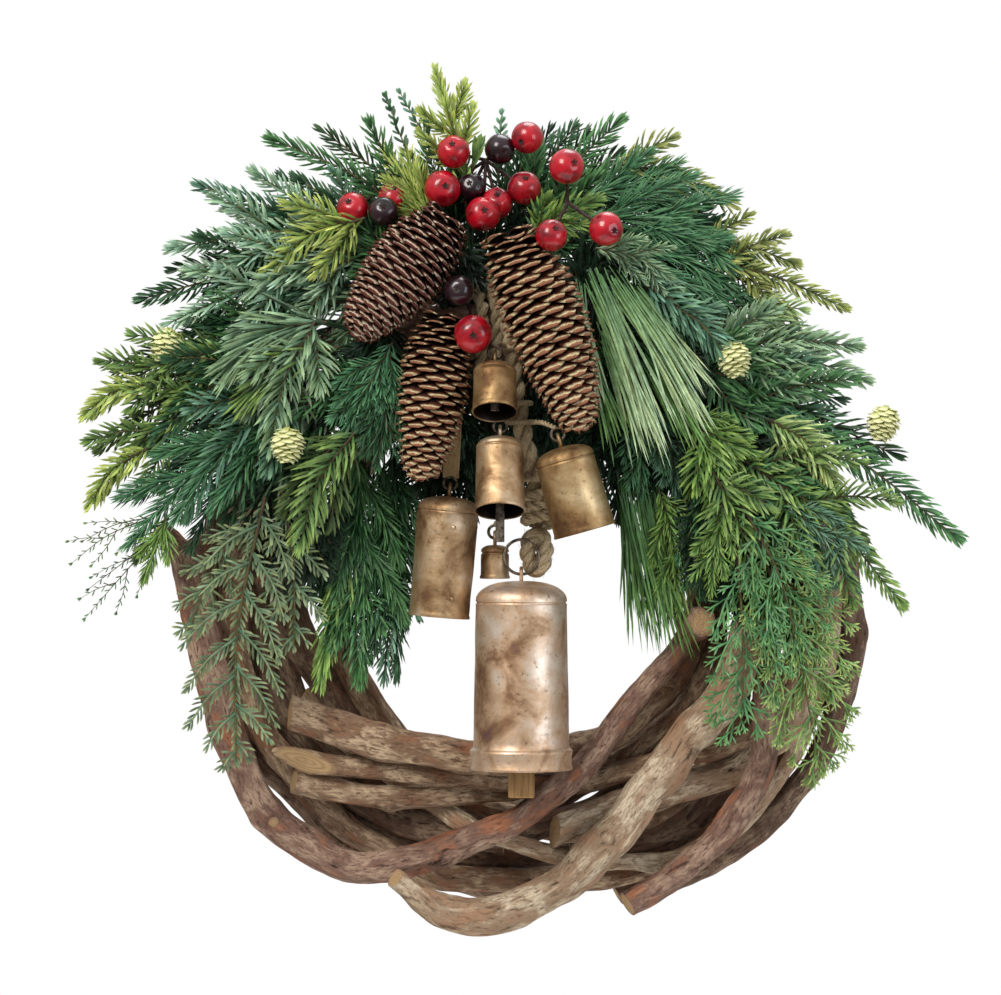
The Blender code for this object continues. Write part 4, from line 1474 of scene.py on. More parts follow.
    def let_fall(self, fall: Fall) -> None:
        """Hangs a bunch of long limp needles from its node.

        Args:
            fall: the bunch.
        """
        random, count = self.random, fall.count
        node = self.spot(fall.foot, fall.forward, 0.3)
        self.stem(Line(smooth([self.root, 0.5 * (self.root + node), node], 6.0)), 1.5, 1.1, Hue.SHADOW)
        angle = np.radians(random.uniform(fall.low, fall.high, count))
        middle = math.radians(0.5 * (fall.low + fall.high))
        start = node + np.column_stack([
            random.uniform(0, 0.20 * fall.length, count) * math.cos(middle) + random.normal(0, 1.4, count),
            random.uniform(-4.0, 2.5, count),
            random.uniform(0, 0.20 * fall.length, count) * math.sin(middle) + random.normal(0, 1.4, count),
        ])
        way = unit(np.column_stack([np.cos(angle), random.uniform(-0.16, 0.06, count), np.sin(angle)]))
        length = fall.length * random.uniform(0.70, 1.05, count)
        face = unit(VIEWER - way * column(way @ VIEWER))
        aside = np.cross(face, way)
        bend = column(length) * (fall.sag * DOWN + random.normal(0, 0.045, (count, 1)) * aside)
        width = random.uniform(0.95, 1.5, count)
        self.note(5, fall.hue, 1.0, start, way, aside, face, np.column_stack([length, width, 0.55 * width]), bend)


def dark(foot: Point, tip: Point, forward: float) -> Spray:
    """A dense dark spray, for the depth behind the others."""
    return Spray(Habit.THICKET, foot, tip, Hue.SHADOW, forward, 0.0, 3, 2)


S, F, A = Spray, Fall, Habit
BOUGHS = (
    ("spruce_upper_left", (-38, 140), (
        S(A.SPRUCE, (-48, 178), (-131, 228), Hue.FOREST, 0, -5, 1),
        S(A.SPRUCE, (-58, 152), (-167, 204), Hue.BLUE_GREEN, 0, -6, 1),
        S(A.SPRUCE, (-50, 165), (-118, 208), Hue.DEEP, -4, 0, 1),
        S(A.SOFT, (-42, 178), (-72, 222), Hue.LIME, 10, 0, 2, 1, 1.15),
        S(A.SPRUCE, (-30, 170), (-66, 214), Hue.FOREST, -3),
    )),
    ("spruce_upper_right", (10, 140), (
        S(A.FIR, (4, 184), (50, 240), Hue.FOREST, 2, 3, 1, 2, 0.9),
        S(A.FIR, (14, 182), (61, 221), Hue.FOREST, 4, 2, 1, 2, 0.9),
        S(A.SPRUCE, (-6, 196), (27, 236), Hue.DEEP, 0),
        S(A.SPRUCE, (-10, 190), (2, 232), Hue.DEEP, -4),
        S(A.SPRUCE, (8, 160), (44, 204), Hue.FOREST, 6, 4, 1),
        dark((-24, 148), (-8, 204), -2),
        dark((0, 148), (18, 204), -2),
        dark((20, 142), (52, 180), -2),
        dark((-44, 128), (-6, 156), 0),
        dark((-14, 128), (26, 152), 0),
        dark((24, 124), (66, 138), 0),
    )),
    ("yellow_fir_top", (-26, 146), (
        S(A.BRUSH, (-29, 204), (-46, 262), Hue.LIME, 4, 0, 2, 0, 0.95),
        S(A.BLADES, (-28, 206), (-22, 226), Hue.GRASS, 6, 0, 0, 0),
        S(A.BLADES, (-30, 190), (-31, 212), Hue.GRASS, 8, 0, 0, 0),
        S(A.SPRIG, (-44, 196), (-71, 248), Hue.DEEP, 4, 3, 1, 0),
        S(A.SPRIG, (-42, 210), (-64, 250), Hue.BLUE_GREEN, 2, 0, 0, 0),
        S(A.SPRIG, (-14, 206), (-12, 240), Hue.BLUE_GREEN, 2, 0, 0, 0),
        S(A.SPRUCE, (-34, 180), (-52, 224), Hue.FOREST, -2, 0, 1, 1),
        dark((-40, 168), (-34, 214), -4),
        dark((-38, 178), (-30, 134), -4),
    )),
    ("teal_spruce_left", (-56, 132), (
        S(A.FIR, (-106, 160), (-196, 145), Hue.DEEP, -3, -3, 1, 1, 0.85),
        S(A.SPRUCE, (-76, 172), (-181, 171), Hue.TEAL, 2, -7, 2),
        S(A.SPRUCE, (-84, 164), (-182, 132), Hue.TEAL, 4, -4, 2),
        S(A.SPRUCE, (-72, 150), (-146, 116), Hue.SAGE, 0, -3, 1),
        S(A.SPRUCE, (-80, 184), (-134, 154), Hue.LIME, 12, -6, 1, 1, 1.05),
        S(A.SPRUCE, (-60, 165), (-104, 176), Hue.FOREST, 6, 0, 1),
        S(A.THICKET, (-84, 168), (-146, 182), Hue.DEEP, -5, 0, 3, 2),
        S(A.THICKET, (-90, 148), (-154, 150), Hue.DEEP, -5, 0, 3, 2),
        S(A.THICKET, (-132, 134), (-174, 127), Hue.DEEP, -5, 0, 2, 1),
    )),
    ("emerald_spray_right", (26, 136), (
        S(A.SPRUCE, (44, 212), (107, 192), Hue.OLIVE, 2, 5, 1, 1, 0.95),
        S(A.SOFT, (28, 184), (120, 162), Hue.EMERALD, 9, 10, 2, 2, 1.2),
        S(A.SOFT, (30, 196), (98, 200), Hue.EMERALD, 6, 5, 2, 2, 1.1),
        S(A.SOFT, (36, 172), (118, 142), Hue.EMERALD, 8, 8, 2, 2, 1.1),
        S(A.SHORT_FIR, (92, 164), (163, 140), Hue.OLIVE, 4, 3, 1, 1),
        S(A.SHORT_FIR, (88, 172), (139, 163), Hue.OLIVE, 0, 3, 1, 1, 0.9),
        S(A.FIR, (70, 150), (140, 124), Hue.DEEP, 0, 4, 1, 2, 0.9),
        S(A.FIR, (112, 142), (151, 118), Hue.MINT, 5, 0, 1, 1, 0.75),
        S(A.THICKET, (56, 176), (104, 185), Hue.DEEP, -4, 0, 3, 2),
        dark((40, 146), (96, 158), -4),
        dark((26, 140), (44, 190), -4),
    )),
    ("yellow_spray_left", (-76, 118), (
        S(A.SHORT_FIR, (-146, 120), (-222, 87), Hue.MOSS, 2, -7, 2, 2, 1.15),
        S(A.SHORT_FIR, (-140, 102), (-218, 44), Hue.MOSS, 2, -8, 2, 2, 1.15),
        S(A.SHORT_FIR, (-186, 102), (-224, 86), Hue.LIME, 4, -4, 0, 0, 1.1),
        S(A.SHORT_FIR, (-188, 70), (-221, 40), Hue.LIME, 4, -4, 0, 0, 1.1),
        S(A.SPRUCE, (-104, 128), (-192, 112), Hue.FOREST, -2, -4, 1),
        S(A.FIR, (-118, 112), (-196, 74), Hue.DEEP, -3, -3, 1, 2, 0.85),
        S(A.WISP, (-186, 36), (-229, 12), Hue.MOSS, 0, -3, 2, 1),
        S(A.WISP, (-184, 26), (-222, -16), Hue.FOREST, 0, 0, 2, 1),
    )),
    ("fir_far_right", (52, 124), (
        S(A.FIR, (86, 118), (173, 104), Hue.SAGE, 2, 6, 1, 2, 0.85),
        S(A.FIR, (96, 92), (219, 24), Hue.FOREST, 2, 9, 1, 2, 0.95),
        S(A.FIR, (70, 112), (148, 86), Hue.FOREST, 4, 4, 2, 2, 0.9),
        S(A.FIR, (96, 104), (176, 66), Hue.BLUE_GREEN, -2, 5, 1, 2, 0.9),
        S(A.FIR, (90, 116), (168, 122), Hue.SAGE, 0, 5, 1, 1, 0.85),
        S(A.SPRUCE, (60, 130), (120, 104), Hue.BLUE_GREEN, 5, 4, 1),
        dark((70, 108), (120, 60), -6),
    )),
    ("dark_fir_left", (-90, 106), (
        S(A.FIR, (-112, 106), (-172, 34), Hue.BLUE_GREEN, 6, -6, 1, 2, 1.08),
        S(A.SOFT, (-126, 84), (-201, 20), Hue.EMERALD, 3, -5, 2, 2, 1.25),
        S(A.FIR, (-116, 86), (-152, 26), Hue.DEEP, 4, -4, 1, 2),
        S(A.FIR, (-124, 118), (-188, 72), Hue.DEEP, 1, -5, 1, 2),
        S(A.SOFT, (-178, 36), (-191, 2), Hue.GRASS, 2, 0, 1, 1, 0.85),
        S(A.FIR, (-98, 92), (-128, 40), Hue.FOREST, 2, -2, 1, 2),
    )),
    ("green_fir_right", (66, 108), (
        S(A.FIR, (104, 66), (189, -9), Hue.MOSS, 3, 7, 2, 2, 0.8),
        S(A.FIR, (120, 84), (157, 48), Hue.LEMON, 7, 5, 0, 1, 0.95),
        S(A.FIR, (84, 84), (94, 34), Hue.GRASS, 9, 4, 1, 2, 0.95),
        S(A.JUNIPER, (74, 88), (112, 50), Hue.GRASS, 8, 4, 3, 1, 1.3),
        S(A.FIR, (96, 58), (152, 6), Hue.FOREST, 0, 5, 2, 2, 0.9),
        S(A.FIR, (80, 60), (118, -6), Hue.FOREST, -2, 4, 1, 2, 0.9),
        S(A.JUNIPER, (128, 44), (166, -2), Hue.BLUE_GREEN, 5, 3, 2, 1, 1.2),
        dark((76, 92), (104, 40), -6),
        dark((96, 84), (140, 20), -6),
    )),
    ("thuja_frond_left", (-104, 96), (
        S(A.THUJA, (-129, 46), (-144, -88), Hue.FROND, 4, -6, 0, 0),
        S(A.THUJA, (-121, 52), (-115, -30), Hue.FROND, 0, 3, 0, 0, 0.62),
        S(A.THUJA, (-136, 40), (-168, -22), Hue.FROND, -2, -3, 0, 0, 0.5),
        dark((-124, 66), (-128, 8), -8),
        dark((-112, 60), (-108, -6), -8),
    )),
    ("cedar_spray_right", (84, 92), (
        S(A.CEDAR, (112, 30), (146, -92), Hue.CEDAR_TIP, 4, 4, 0, 0, 0.85),
        S(A.CEDAR, (103, 22), (106, -70), Hue.CEDAR, 6, 2, 0, 0, 0.85),
        S(A.CEDAR, (116, 26), (150, -54), Hue.CEDAR_TIP, 2, 5, 0, 0, 0.7),
        S(A.CEDAR, (106, 42), (136, -34), Hue.CEDAR, 8, 4, 0, 0, 0.8),
        S(A.JUNIPER, (98, 40), (90, -4), Hue.GRASS, 6, -2, 2, 1, 1.1),
        S(A.FIR, (92, 58), (112, 4), Hue.MOSS, 4, 3, 1, 2, 0.95),
        dark((96, 60), (122, -22), -8),
        dark((86, 56), (92, -4), -9),
        dark((100, 34), (105, -14), -9),
        dark((124, 24), (134, -34), -9),
    )),
    ("hanging_fir_left", (-72, 96), (
        S(A.SOFT, (-84, 66), (-82, -50), Hue.FOREST, 5, 2, 2, 2, 1.2),
        S(A.SOFT, (-67, 68), (-65, -47), Hue.DEEP, 1, 3, 2, 2, 1.15),
        S(A.SOFT, (-74, 62), (-60, -22), Hue.FOREST, -3, 3, 2, 2, 1.15),
        S(A.SOFT, (-92, 60), (-96, -20), Hue.DEEP, 3, 0, 2, 2, 1.2),
        S(A.PINE, (-92, 18), (-103, -50), Hue.GRASS, 6, 0, 0, 0, 0.6),
        S(A.PINE, (-84, 30), (-96, -26), Hue.MOSS, 4, 0, 0, 0, 0.65),
        S(A.SPRUCE, (-70, 10), (-71, -48), Hue.BLUE_GREEN, 1, 2, 1, 1),
        S(A.SPRUCE, (-82, 6), (-84, -50), Hue.FOREST, 4, -2, 1, 1),
        dark((-54, 108), (-46, 42), -1),
        dark((-36, 112), (-27, 32), -1),
        S(A.SOFT, (-32, 92), (-26, 46), Hue.BLUE_GREEN, 1, 0, 1, 0),
        dark((-16, 112), (-7, 40), -1),
        dark((-46, 106), (-38, 30), -1),
    )),
    ("pine_tuft_right", (60, 98), (
        F((47, 63), 272, 284, 78, 60, Hue.TUFT, 6, 0.04),
        F((54, 60), 274, 290, 80, 60, Hue.TUFT, 5, 0.04),
        F((62, 54), 276, 290, 66, 54, Hue.MOSS, 3, 0.04),
        F((70, 40), 270, 288, 46, 36, Hue.TUFT, 4, 0.04),
        S(A.JUNIPER, (52, 92), (58, 44), Hue.EMERALD, 8, 2, 2, 2, 1.3),
        S(A.JUNIPER, (62, 90), (76, 44), Hue.BLUE_GREEN, 9, 3, 2, 2, 1.3),
        S(A.JUNIPER, (66, 50), (76, -14), Hue.GRASS, 9, 3, 2, 1, 1.2),
        S(A.JUNIPER, (74, 44), (88, -6), Hue.EMERALD, 8, 3, 2, 1, 1.2),
        S(A.SOFT, (72, 70), (92, 0), Hue.DEEP, 2, 3, 2, 2, 1.1),
        dark((52, 110), (58, 40), 0),
        dark((34, 112), (42, 62), 0),
        dark((12, 112), (16, 52), -1),
        dark((0, 112), (4, 46), -1),
        dark((24, 112), (30, 56), -1),
        dark((42, 104), (46, 32), 0),
        dark((70, 90), (80, 20), -2),
    )),
    ("grey_spruce_left", (-66, 124), (
        S(A.FIR, (-104, 132), (-128, 66), Hue.SAGE, 4, -4, 1, 2, 1.0),
        S(A.FIR, (-84, 78), (-114, 19), Hue.MOSS, 5, -5, 0, 2, 1.1),
        S(A.PINE, (-98, 132), (-156, 108), Hue.SAGE, 1, -6, 0, 1, 1.0),
        S(A.PINE, (-92, 120), (-146, 92), Hue.MOSS, -1, -5, 0, 1, 0.95),
        S(A.JUNIPER, (-66, 122), (-92, 74), Hue.EMERALD, 3, 0, 3, 2, 1.4),
        S(A.JUNIPER, (-66, 108), (-74, 58), Hue.DEEP, 4, 0, 3, 2, 1.4),
        S(A.SPRUCE, (-74, 112), (-118, 84), Hue.FOREST, -2, 0, 1, 2),
        dark((-66, 130), (-70, 70), -8),
        dark((-80, 124), (-104, 74), -8),
        dark((-68, 132), (-86, 104), -6),
    )),
    ("white_pine_right", (34, 142), (
        F((24, 153), 272, 284, 54, 34, Hue.PINE, 8, 0.12),
        F((30, 157), 291, 300, 78, 36, Hue.PINE, 9, 0.16),
        F((40, 157), 301, 308, 78, 34, Hue.PINE, 7, 0.16),
        F((50, 151), 306, 313, 60, 22, Hue.PINE, 6, 0.12),
        F((36, 130), 286, 303, 56, 32, Hue.PINE, 5, 0.14),
        F((30, 120), 282, 300, 44, 24, Hue.TUFT, 3, 0.10),
        F((56, 120), 294, 312, 50, 36, Hue.TUFT, 3, 0.12),
        S(A.FIR, (68, 142), (102, 112), Hue.BLUE_GREEN, 8, 3, 0, 1, 0.9),
        S(A.FIR, (58, 150), (88, 124), Hue.BLUE_GREEN, 6, 3, 0, 1, 0.9),
        S(A.JUNIPER, (34, 168), (78, 148), Hue.SAGE, 7, 4, 2, 1),
        S(A.SHORT_FIR, (4, 176), (38, 194), Hue.GRASS, 0, 2, 1, 1, 1.1),
        S(A.SOFT, (50, 146), (92, 120), Hue.DEEP, 0, 3, 2, 2, 1.1),
        dark((30, 146), (62, 92), -6),
        dark((52, 140), (88, 96), -6),
    )),
)


# ---------------------------------------------------------------- cones and buds


@lru_cache(maxsize=None)
def scale_shape(spread: float) -> tuple[Array, Array]:
    """A thin scale, one long and one wide, rounded at its edge and hollowed like a spoon.

    Args:
        spread: how wide its foot is, as a share of its width.

    Returns:
        Its corners, with X along it, Y across and Z out of its face, and its triangles.
    """
    bm = bmesh.new()
    bmesh.ops.create_grid(bm, x_segments=3, y_segments=4, size=0.5)
    for vert in bm.verts:
        along, aside = vert.co.x + 0.5, 2 * vert.co.y
        wide = spread + (1 - spread) * math.sin(0.5 * math.pi * min(1.0, along / 0.66))
        rounding = math.sqrt(max(0.0, 1 - abs(aside) ** 2.4)) if along > 0.99 else 1.0
        vert.co.x = along - (0.22 * (1 - rounding) if along > 0.6 else 0.0)
        vert.co.y = 0.5 * aside * wide * (0.86 if along > 0.99 else 1.0)
        vert.co.z = 0.16 * along**2.2 - 0.13 * aside**2 * along
    bmesh.ops.recalc_face_normals(bm, faces=bm.faces[:])
    bmesh.ops.solidify(bm, geom=bm.faces[:], thickness=0.055)
    bmesh.ops.recalc_face_normals(bm, faces=bm.faces[:])
    patch = patch_from(bm)
    return patch.corners, patch.faces


@dataclass(frozen=True)
class ScaledFruit:
    """A cone or a bud: a core set with overlapping scales in a spiral.

    Attributes:
        node: the CAD node that it stands for.
        finish: its scales' finish.
        slot: its material slot.
        count: how many scales it has.
        scale: a scale's length and width, as shares of the fruit's radius.
        foot_width: how wide a scale's foot is, as a share of its width.
        open_top: degrees that the scales stand off at the stalk.
        open_tip: degrees that they stand off at the tip.
        bow: how far its axis bends, as a share of its length.
        ragged: how unevenly its scales stand, in degrees.
        squat: its length against its CAD solid's.
        shut: degrees that its last scales lean in over the tip.
        flare: degrees that its first scales lean back over the stalk.
        ends: how far from either end its scales lean in or back, as a share of its length.
        core: its core's radius against its own.
    """

    node: str
    finish: Finish
    slot: str
    count: int
    scale: Point
    foot_width: float = 0.35
    open_top: float = 58.0
    open_tip: float = 16.0
    bow: float = 0.0
    ragged: float = 5.0
    squat: float = 1.0
    shut: float = 60.0
    flare: float = 60.0
    ends: float = 0.05
    core: float = 0.66

    def outline(self, share: Array) -> Array:
        """The fruit's radius along its axis, against its greatest: blunt at the stalk, drawn in at the tip."""
        return np.sin(np.pi * np.clip(share, 0.01, 0.99) ** 0.8) ** 0.38 * (1 - 0.28 * share**3)

    def build(self) -> None:
        """Sets the scales round the core and makes the piece."""
        top, foot, radius = poles(self.node)
        axis = self.squat * (foot - top)
        top = 0.5 * (top + foot) - 0.5 * axis
        length = float(np.linalg.norm(axis))
        axis = axis / length
        side = unit(np.cross(axis, VIEWER))
        toward = np.cross(side, axis)

        def middle(share: Array, back: Array | float = 0.0) -> Array:
            """Places on the bent axis, moved back by so much."""
            return top + axis * column(share * length - back) + column(self.bow * length * np.sin(np.pi * share)) * side

        random = np.random.default_rng(int(length * 10))
        share = 0.01 + 0.96 * ((np.arange(self.count) + 0.5) / self.count) ** 0.94
        turn = column(np.arange(self.count) * GOLDEN_ANGLE)
        away = np.cos(turn) * side + np.sin(turn) * toward
        standing = self.open_top + (self.open_tip - self.open_top) * share + self.flare * np.exp(-share / self.ends)
        standing -= self.shut * np.exp((share - 1.0) / self.ends)
        opening = np.radians(standing + random.normal(0, self.ragged, self.count))
        girth = self.outline(share)
        size = radius * self.scale[0] * (0.55 + 0.45 * girth) * random.uniform(0.88, 1.08, self.count)
        reach = np.maximum(0.12 * radius, radius * girth - size * np.abs(np.sin(opening)) * 0.93)
        root = middle(share, np.cos(opening) * size * 0.55) + away * column(reach)
        way = column(np.cos(opening)) * axis + column(np.sin(opening)) * away
        out = unit(square(away, way))
        aside = unit(np.cross(out, way) + column(random.normal(0, 0.07, self.count)) * out)
        sizes = np.column_stack([size, radius * self.scale[1] * (0.5 + 0.5 * girth), size])
        shape = scale_shape(self.foot_width)
        patch = tiled(shape, root, (way, aside, np.cross(way, aside)), sizes, np.zeros((self.count, 3)))
        patch.marks["rim"] = np.tile(shape[0][:, 0], self.count)
        piece = Piece(self.node + "_scales", self.finish)
        piece.add(patch)
        share = np.linspace(0.04, 0.97, 14)
        core = tube(Line(middle(share), up=toward), np.maximum(1.0, self.core * radius * self.outline(share)), 14)
        # The core takes the scales' foot colours; on the cones that is the near-black painted shade.
        core.marks = {"rim": np.zeros(len(core.corners))}
        piece.add(core)
        piece.build(self.slot, self.node, sharp=60.0)


FRUITS = (
    ScaledFruit("cone_left", CONE_DARK, "cone_scales", 225, (0.76, 0.70), bow=0.01),
    ScaledFruit("cone_right", CONE_TAN, "cone_scales", 235, (0.80, 0.74), bow=-0.03, squat=0.97),
    ScaledFruit("cone_low", CONE_TAN, "cone_scales", 200, (0.78, 0.70)),
    *(
        ScaledFruit(node, BRACT, "hop_bud", 60, (0.85, 0.74), 0.5, 52.0, 30.0, 0.0, 9.0, 0.88, 0.0)
        for node in ("bud_far_left", "bud_left", "bud_right", "bud_far_right")
    ),
)


# ---------------------------------------------------------------- berries


@dataclass(frozen=True)
class Berry:
    """One berry: its place from the ring's middle, how far forward in its pick, and its radius."""

    x: float
    z: float
    forward: float
    radius: float
    dark: bool = False
    faces: Point = (0.1, -0.5)  # where its star looks, to the right and up


@dataclass(frozen=True)
class Pick:
    """Berries on short taped wires that gather behind them.

    Attributes:
        node: the CAD node that it stands for.
        gather: where its wires meet, from the ring's middle.
        berries: its berries.
        widest: a CAD berry's widest ring against its radius.
        wire: the radius of a wire.
        stalk: the radius of the wires where they are bound.
        gather_depth: how far behind the berries they meet.
        dimple: how deep a berry's dimple is, as a share of its radius.
        dents: how deep its dents are, likewise.
    """

    node: str
    gather: Point
    berries: tuple[Berry, ...]
    widest: float = 0.951
    wire: float = 0.9
    stalk: float = 1.4
    gather_depth: float = 12.0
    dimple: float = 0.13
    dents: float = 0.035

    def build(self) -> None:
        """Makes the berries, their stars and their wires."""
        level = box(self.node)[0][1] + max(berry.forward + self.widest * berry.radius for berry in self.berries)
        knot = np.array([self.gather[0], level + self.gather_depth, self.gather[1] + RING_MIDDLE[2]])
        piece = Piece(self.node + "_berries", BERRY_RED, BERRY_DARK, HUSK)
        piece.add(tube(Line(smooth([knot - VIEWER * 5, knot, knot + VIEWER], 1.5)), self.stalk, 8), 2)
        for number, berry in enumerate(self.berries):
            centre = np.array([berry.x, level - berry.forward, berry.z + RING_MIDDLE[2]])
            bend = 0.5 * (knot + centre) - VIEWER * 3.0
            piece.add(tube(Line(smooth([knot, bend, centre - VIEWER * 2.0], 2.5)), self.wire, 7), 2)
            look = unit(np.array([berry.faces[0], -1.0, berry.faces[1]]))
            piece.add(self.fruit(centre, berry.radius, look, number), 1 if berry.dark else 0)
            piece.add(self.star(centre, berry.radius, look), 2)
        piece.build("berry_lacquer", self.node, sharp=70.0)

    def fruit(self, centre: Array, radius: float, look: Array, number: int) -> Patch:
        """A round fruit with a dimple at its star.

        Args:
            centre: its middle.
            radius: its radius.
            look: the way that its star looks.
            number: its place in the pick, which sets its dents.

        Returns:
            The fruit.
        """
        patch = ball(26, 18, 1.0)
        round_way = unit(patch.corners)
        dimple = self.dimple * np.exp(-((1 - np.sum(round_way * look, axis=1)) / 0.035))
        dented = 1 + self.dents * lumps(round_way * 1.7 + 9.1 * number) - dimple
        patch.corners = centre + round_way * column(radius * dented)
        return patch

    def star(self, centre: Array, radius: float, look: Array) -> Patch:
        """The five dried points of the blossom end.

        Args:
            centre: the berry's middle.
            radius: its radius.
            look: the way that the star looks.

        Returns:
            The star.
        """
        side = unit(np.cross(look, np.array([0.3, 0.2, 1.0])))
        turn = column(np.arange(5) * math.tau / 5)
        away = np.cos(turn) * side + np.sin(turn) * np.cross(look, side)
        root = centre + look * (0.90 * radius) + away * 0.2
        way, aside = unit(away + 0.55 * look), np.cross(look, away)
        sizes = np.tile([0.22 * radius, 0.16 * radius, 0.06 * radius], (5, 1))
        return tiled(spike(2), root, (way, aside, np.cross(way, aside)), sizes, np.zeros((5, 3)))


def ball(around: int, down: int, radius: float) -> Patch:
    """Makes a ball.

    Args:
        around: how many faces go round it.
        down: how many go down it.
        radius: its radius.

    Returns:
        The ball, with its middle at the origin.
    """
    bm = bmesh.new()
    bmesh.ops.create_uvsphere(bm, u_segments=around, v_segments=down, radius=radius)
    return patch_from(bm)


PICKS = (
    Pick("pick_left", (-66, 204), (
        Berry(-86, 189, 2, 8.2, faces=(-0.3, 0.5)), Berry(-66.5, 194.5, 0, 7.2, faces=(0.2, 0.9)),
        Berry(-70.5, 187, 9, 7.6, True, (0.0, 0.4)),
    )),
    Pick("pick_middle", (-20, 214), (
        Berry(-36, 217, 0, 8.2, faces=(-0.1, 0.5)), Berry(-41.5, 198.5, 3, 9.0, faces=(0.2, 0.1)),
        Berry(-27, 199.5, -2, 7.2, True, (-0.2, 0.3)), Berry(-13, 218.5, -2, 7.6, True, (0.4, -0.3)),
        Berry(0.5, 224, 1, 8.0, faces=(-0.5, -0.4)), Berry(-1, 199, 0, 8.4, faces=(0.1, 0.7)),
        Berry(-14.5, 191.5, 1, 7.8, faces=(0.0, 0.6)), Berry(-21.5, 185.5, 8, 8.6, faces=(0.1, 0.2)),
    )),
    Pick("pick_right", (20, 190), (
        Berry(19.5, 206.5, 0, 8.6, faces=(0.5, 0.2)), Berry(12, 173, 0, 7.8, faces=(0.3, 0.5)),
        Berry(38.5, 176, 3, 8.4, faces=(0.6, -0.2)),
    )),
    Pick("pick_low", (-28, 140), (
        Berry(-26, 125.5, 4, 9.4, faces=(0.0, -0.1)), Berry(-33, 147, 0, 7.4, True, (-0.1, 0.1)),
    )),
)


# ---------------------------------------------------------------- bells


@dataclass(frozen=True)
class Hang:
    """How a bell hangs: the middle of its eye, the way down its middle, and the ways to its side and its front."""

    eye: Array
    axis: Array
    side: Array
    front: Array


def hang_of(name: str) -> Hang:
    """Reads how a bell hangs off its two joints.

    Args:
        name: the bell's name.

    Returns:
        How it hangs.
    """
    eye = joint_place(f"swing_{name}")
    axis = unit(joint_place(f"rattle_{name}") - eye)
    side = unit(np.cross(axis, VIEWER))
    return Hang(eye, axis, side, np.cross(side, axis))


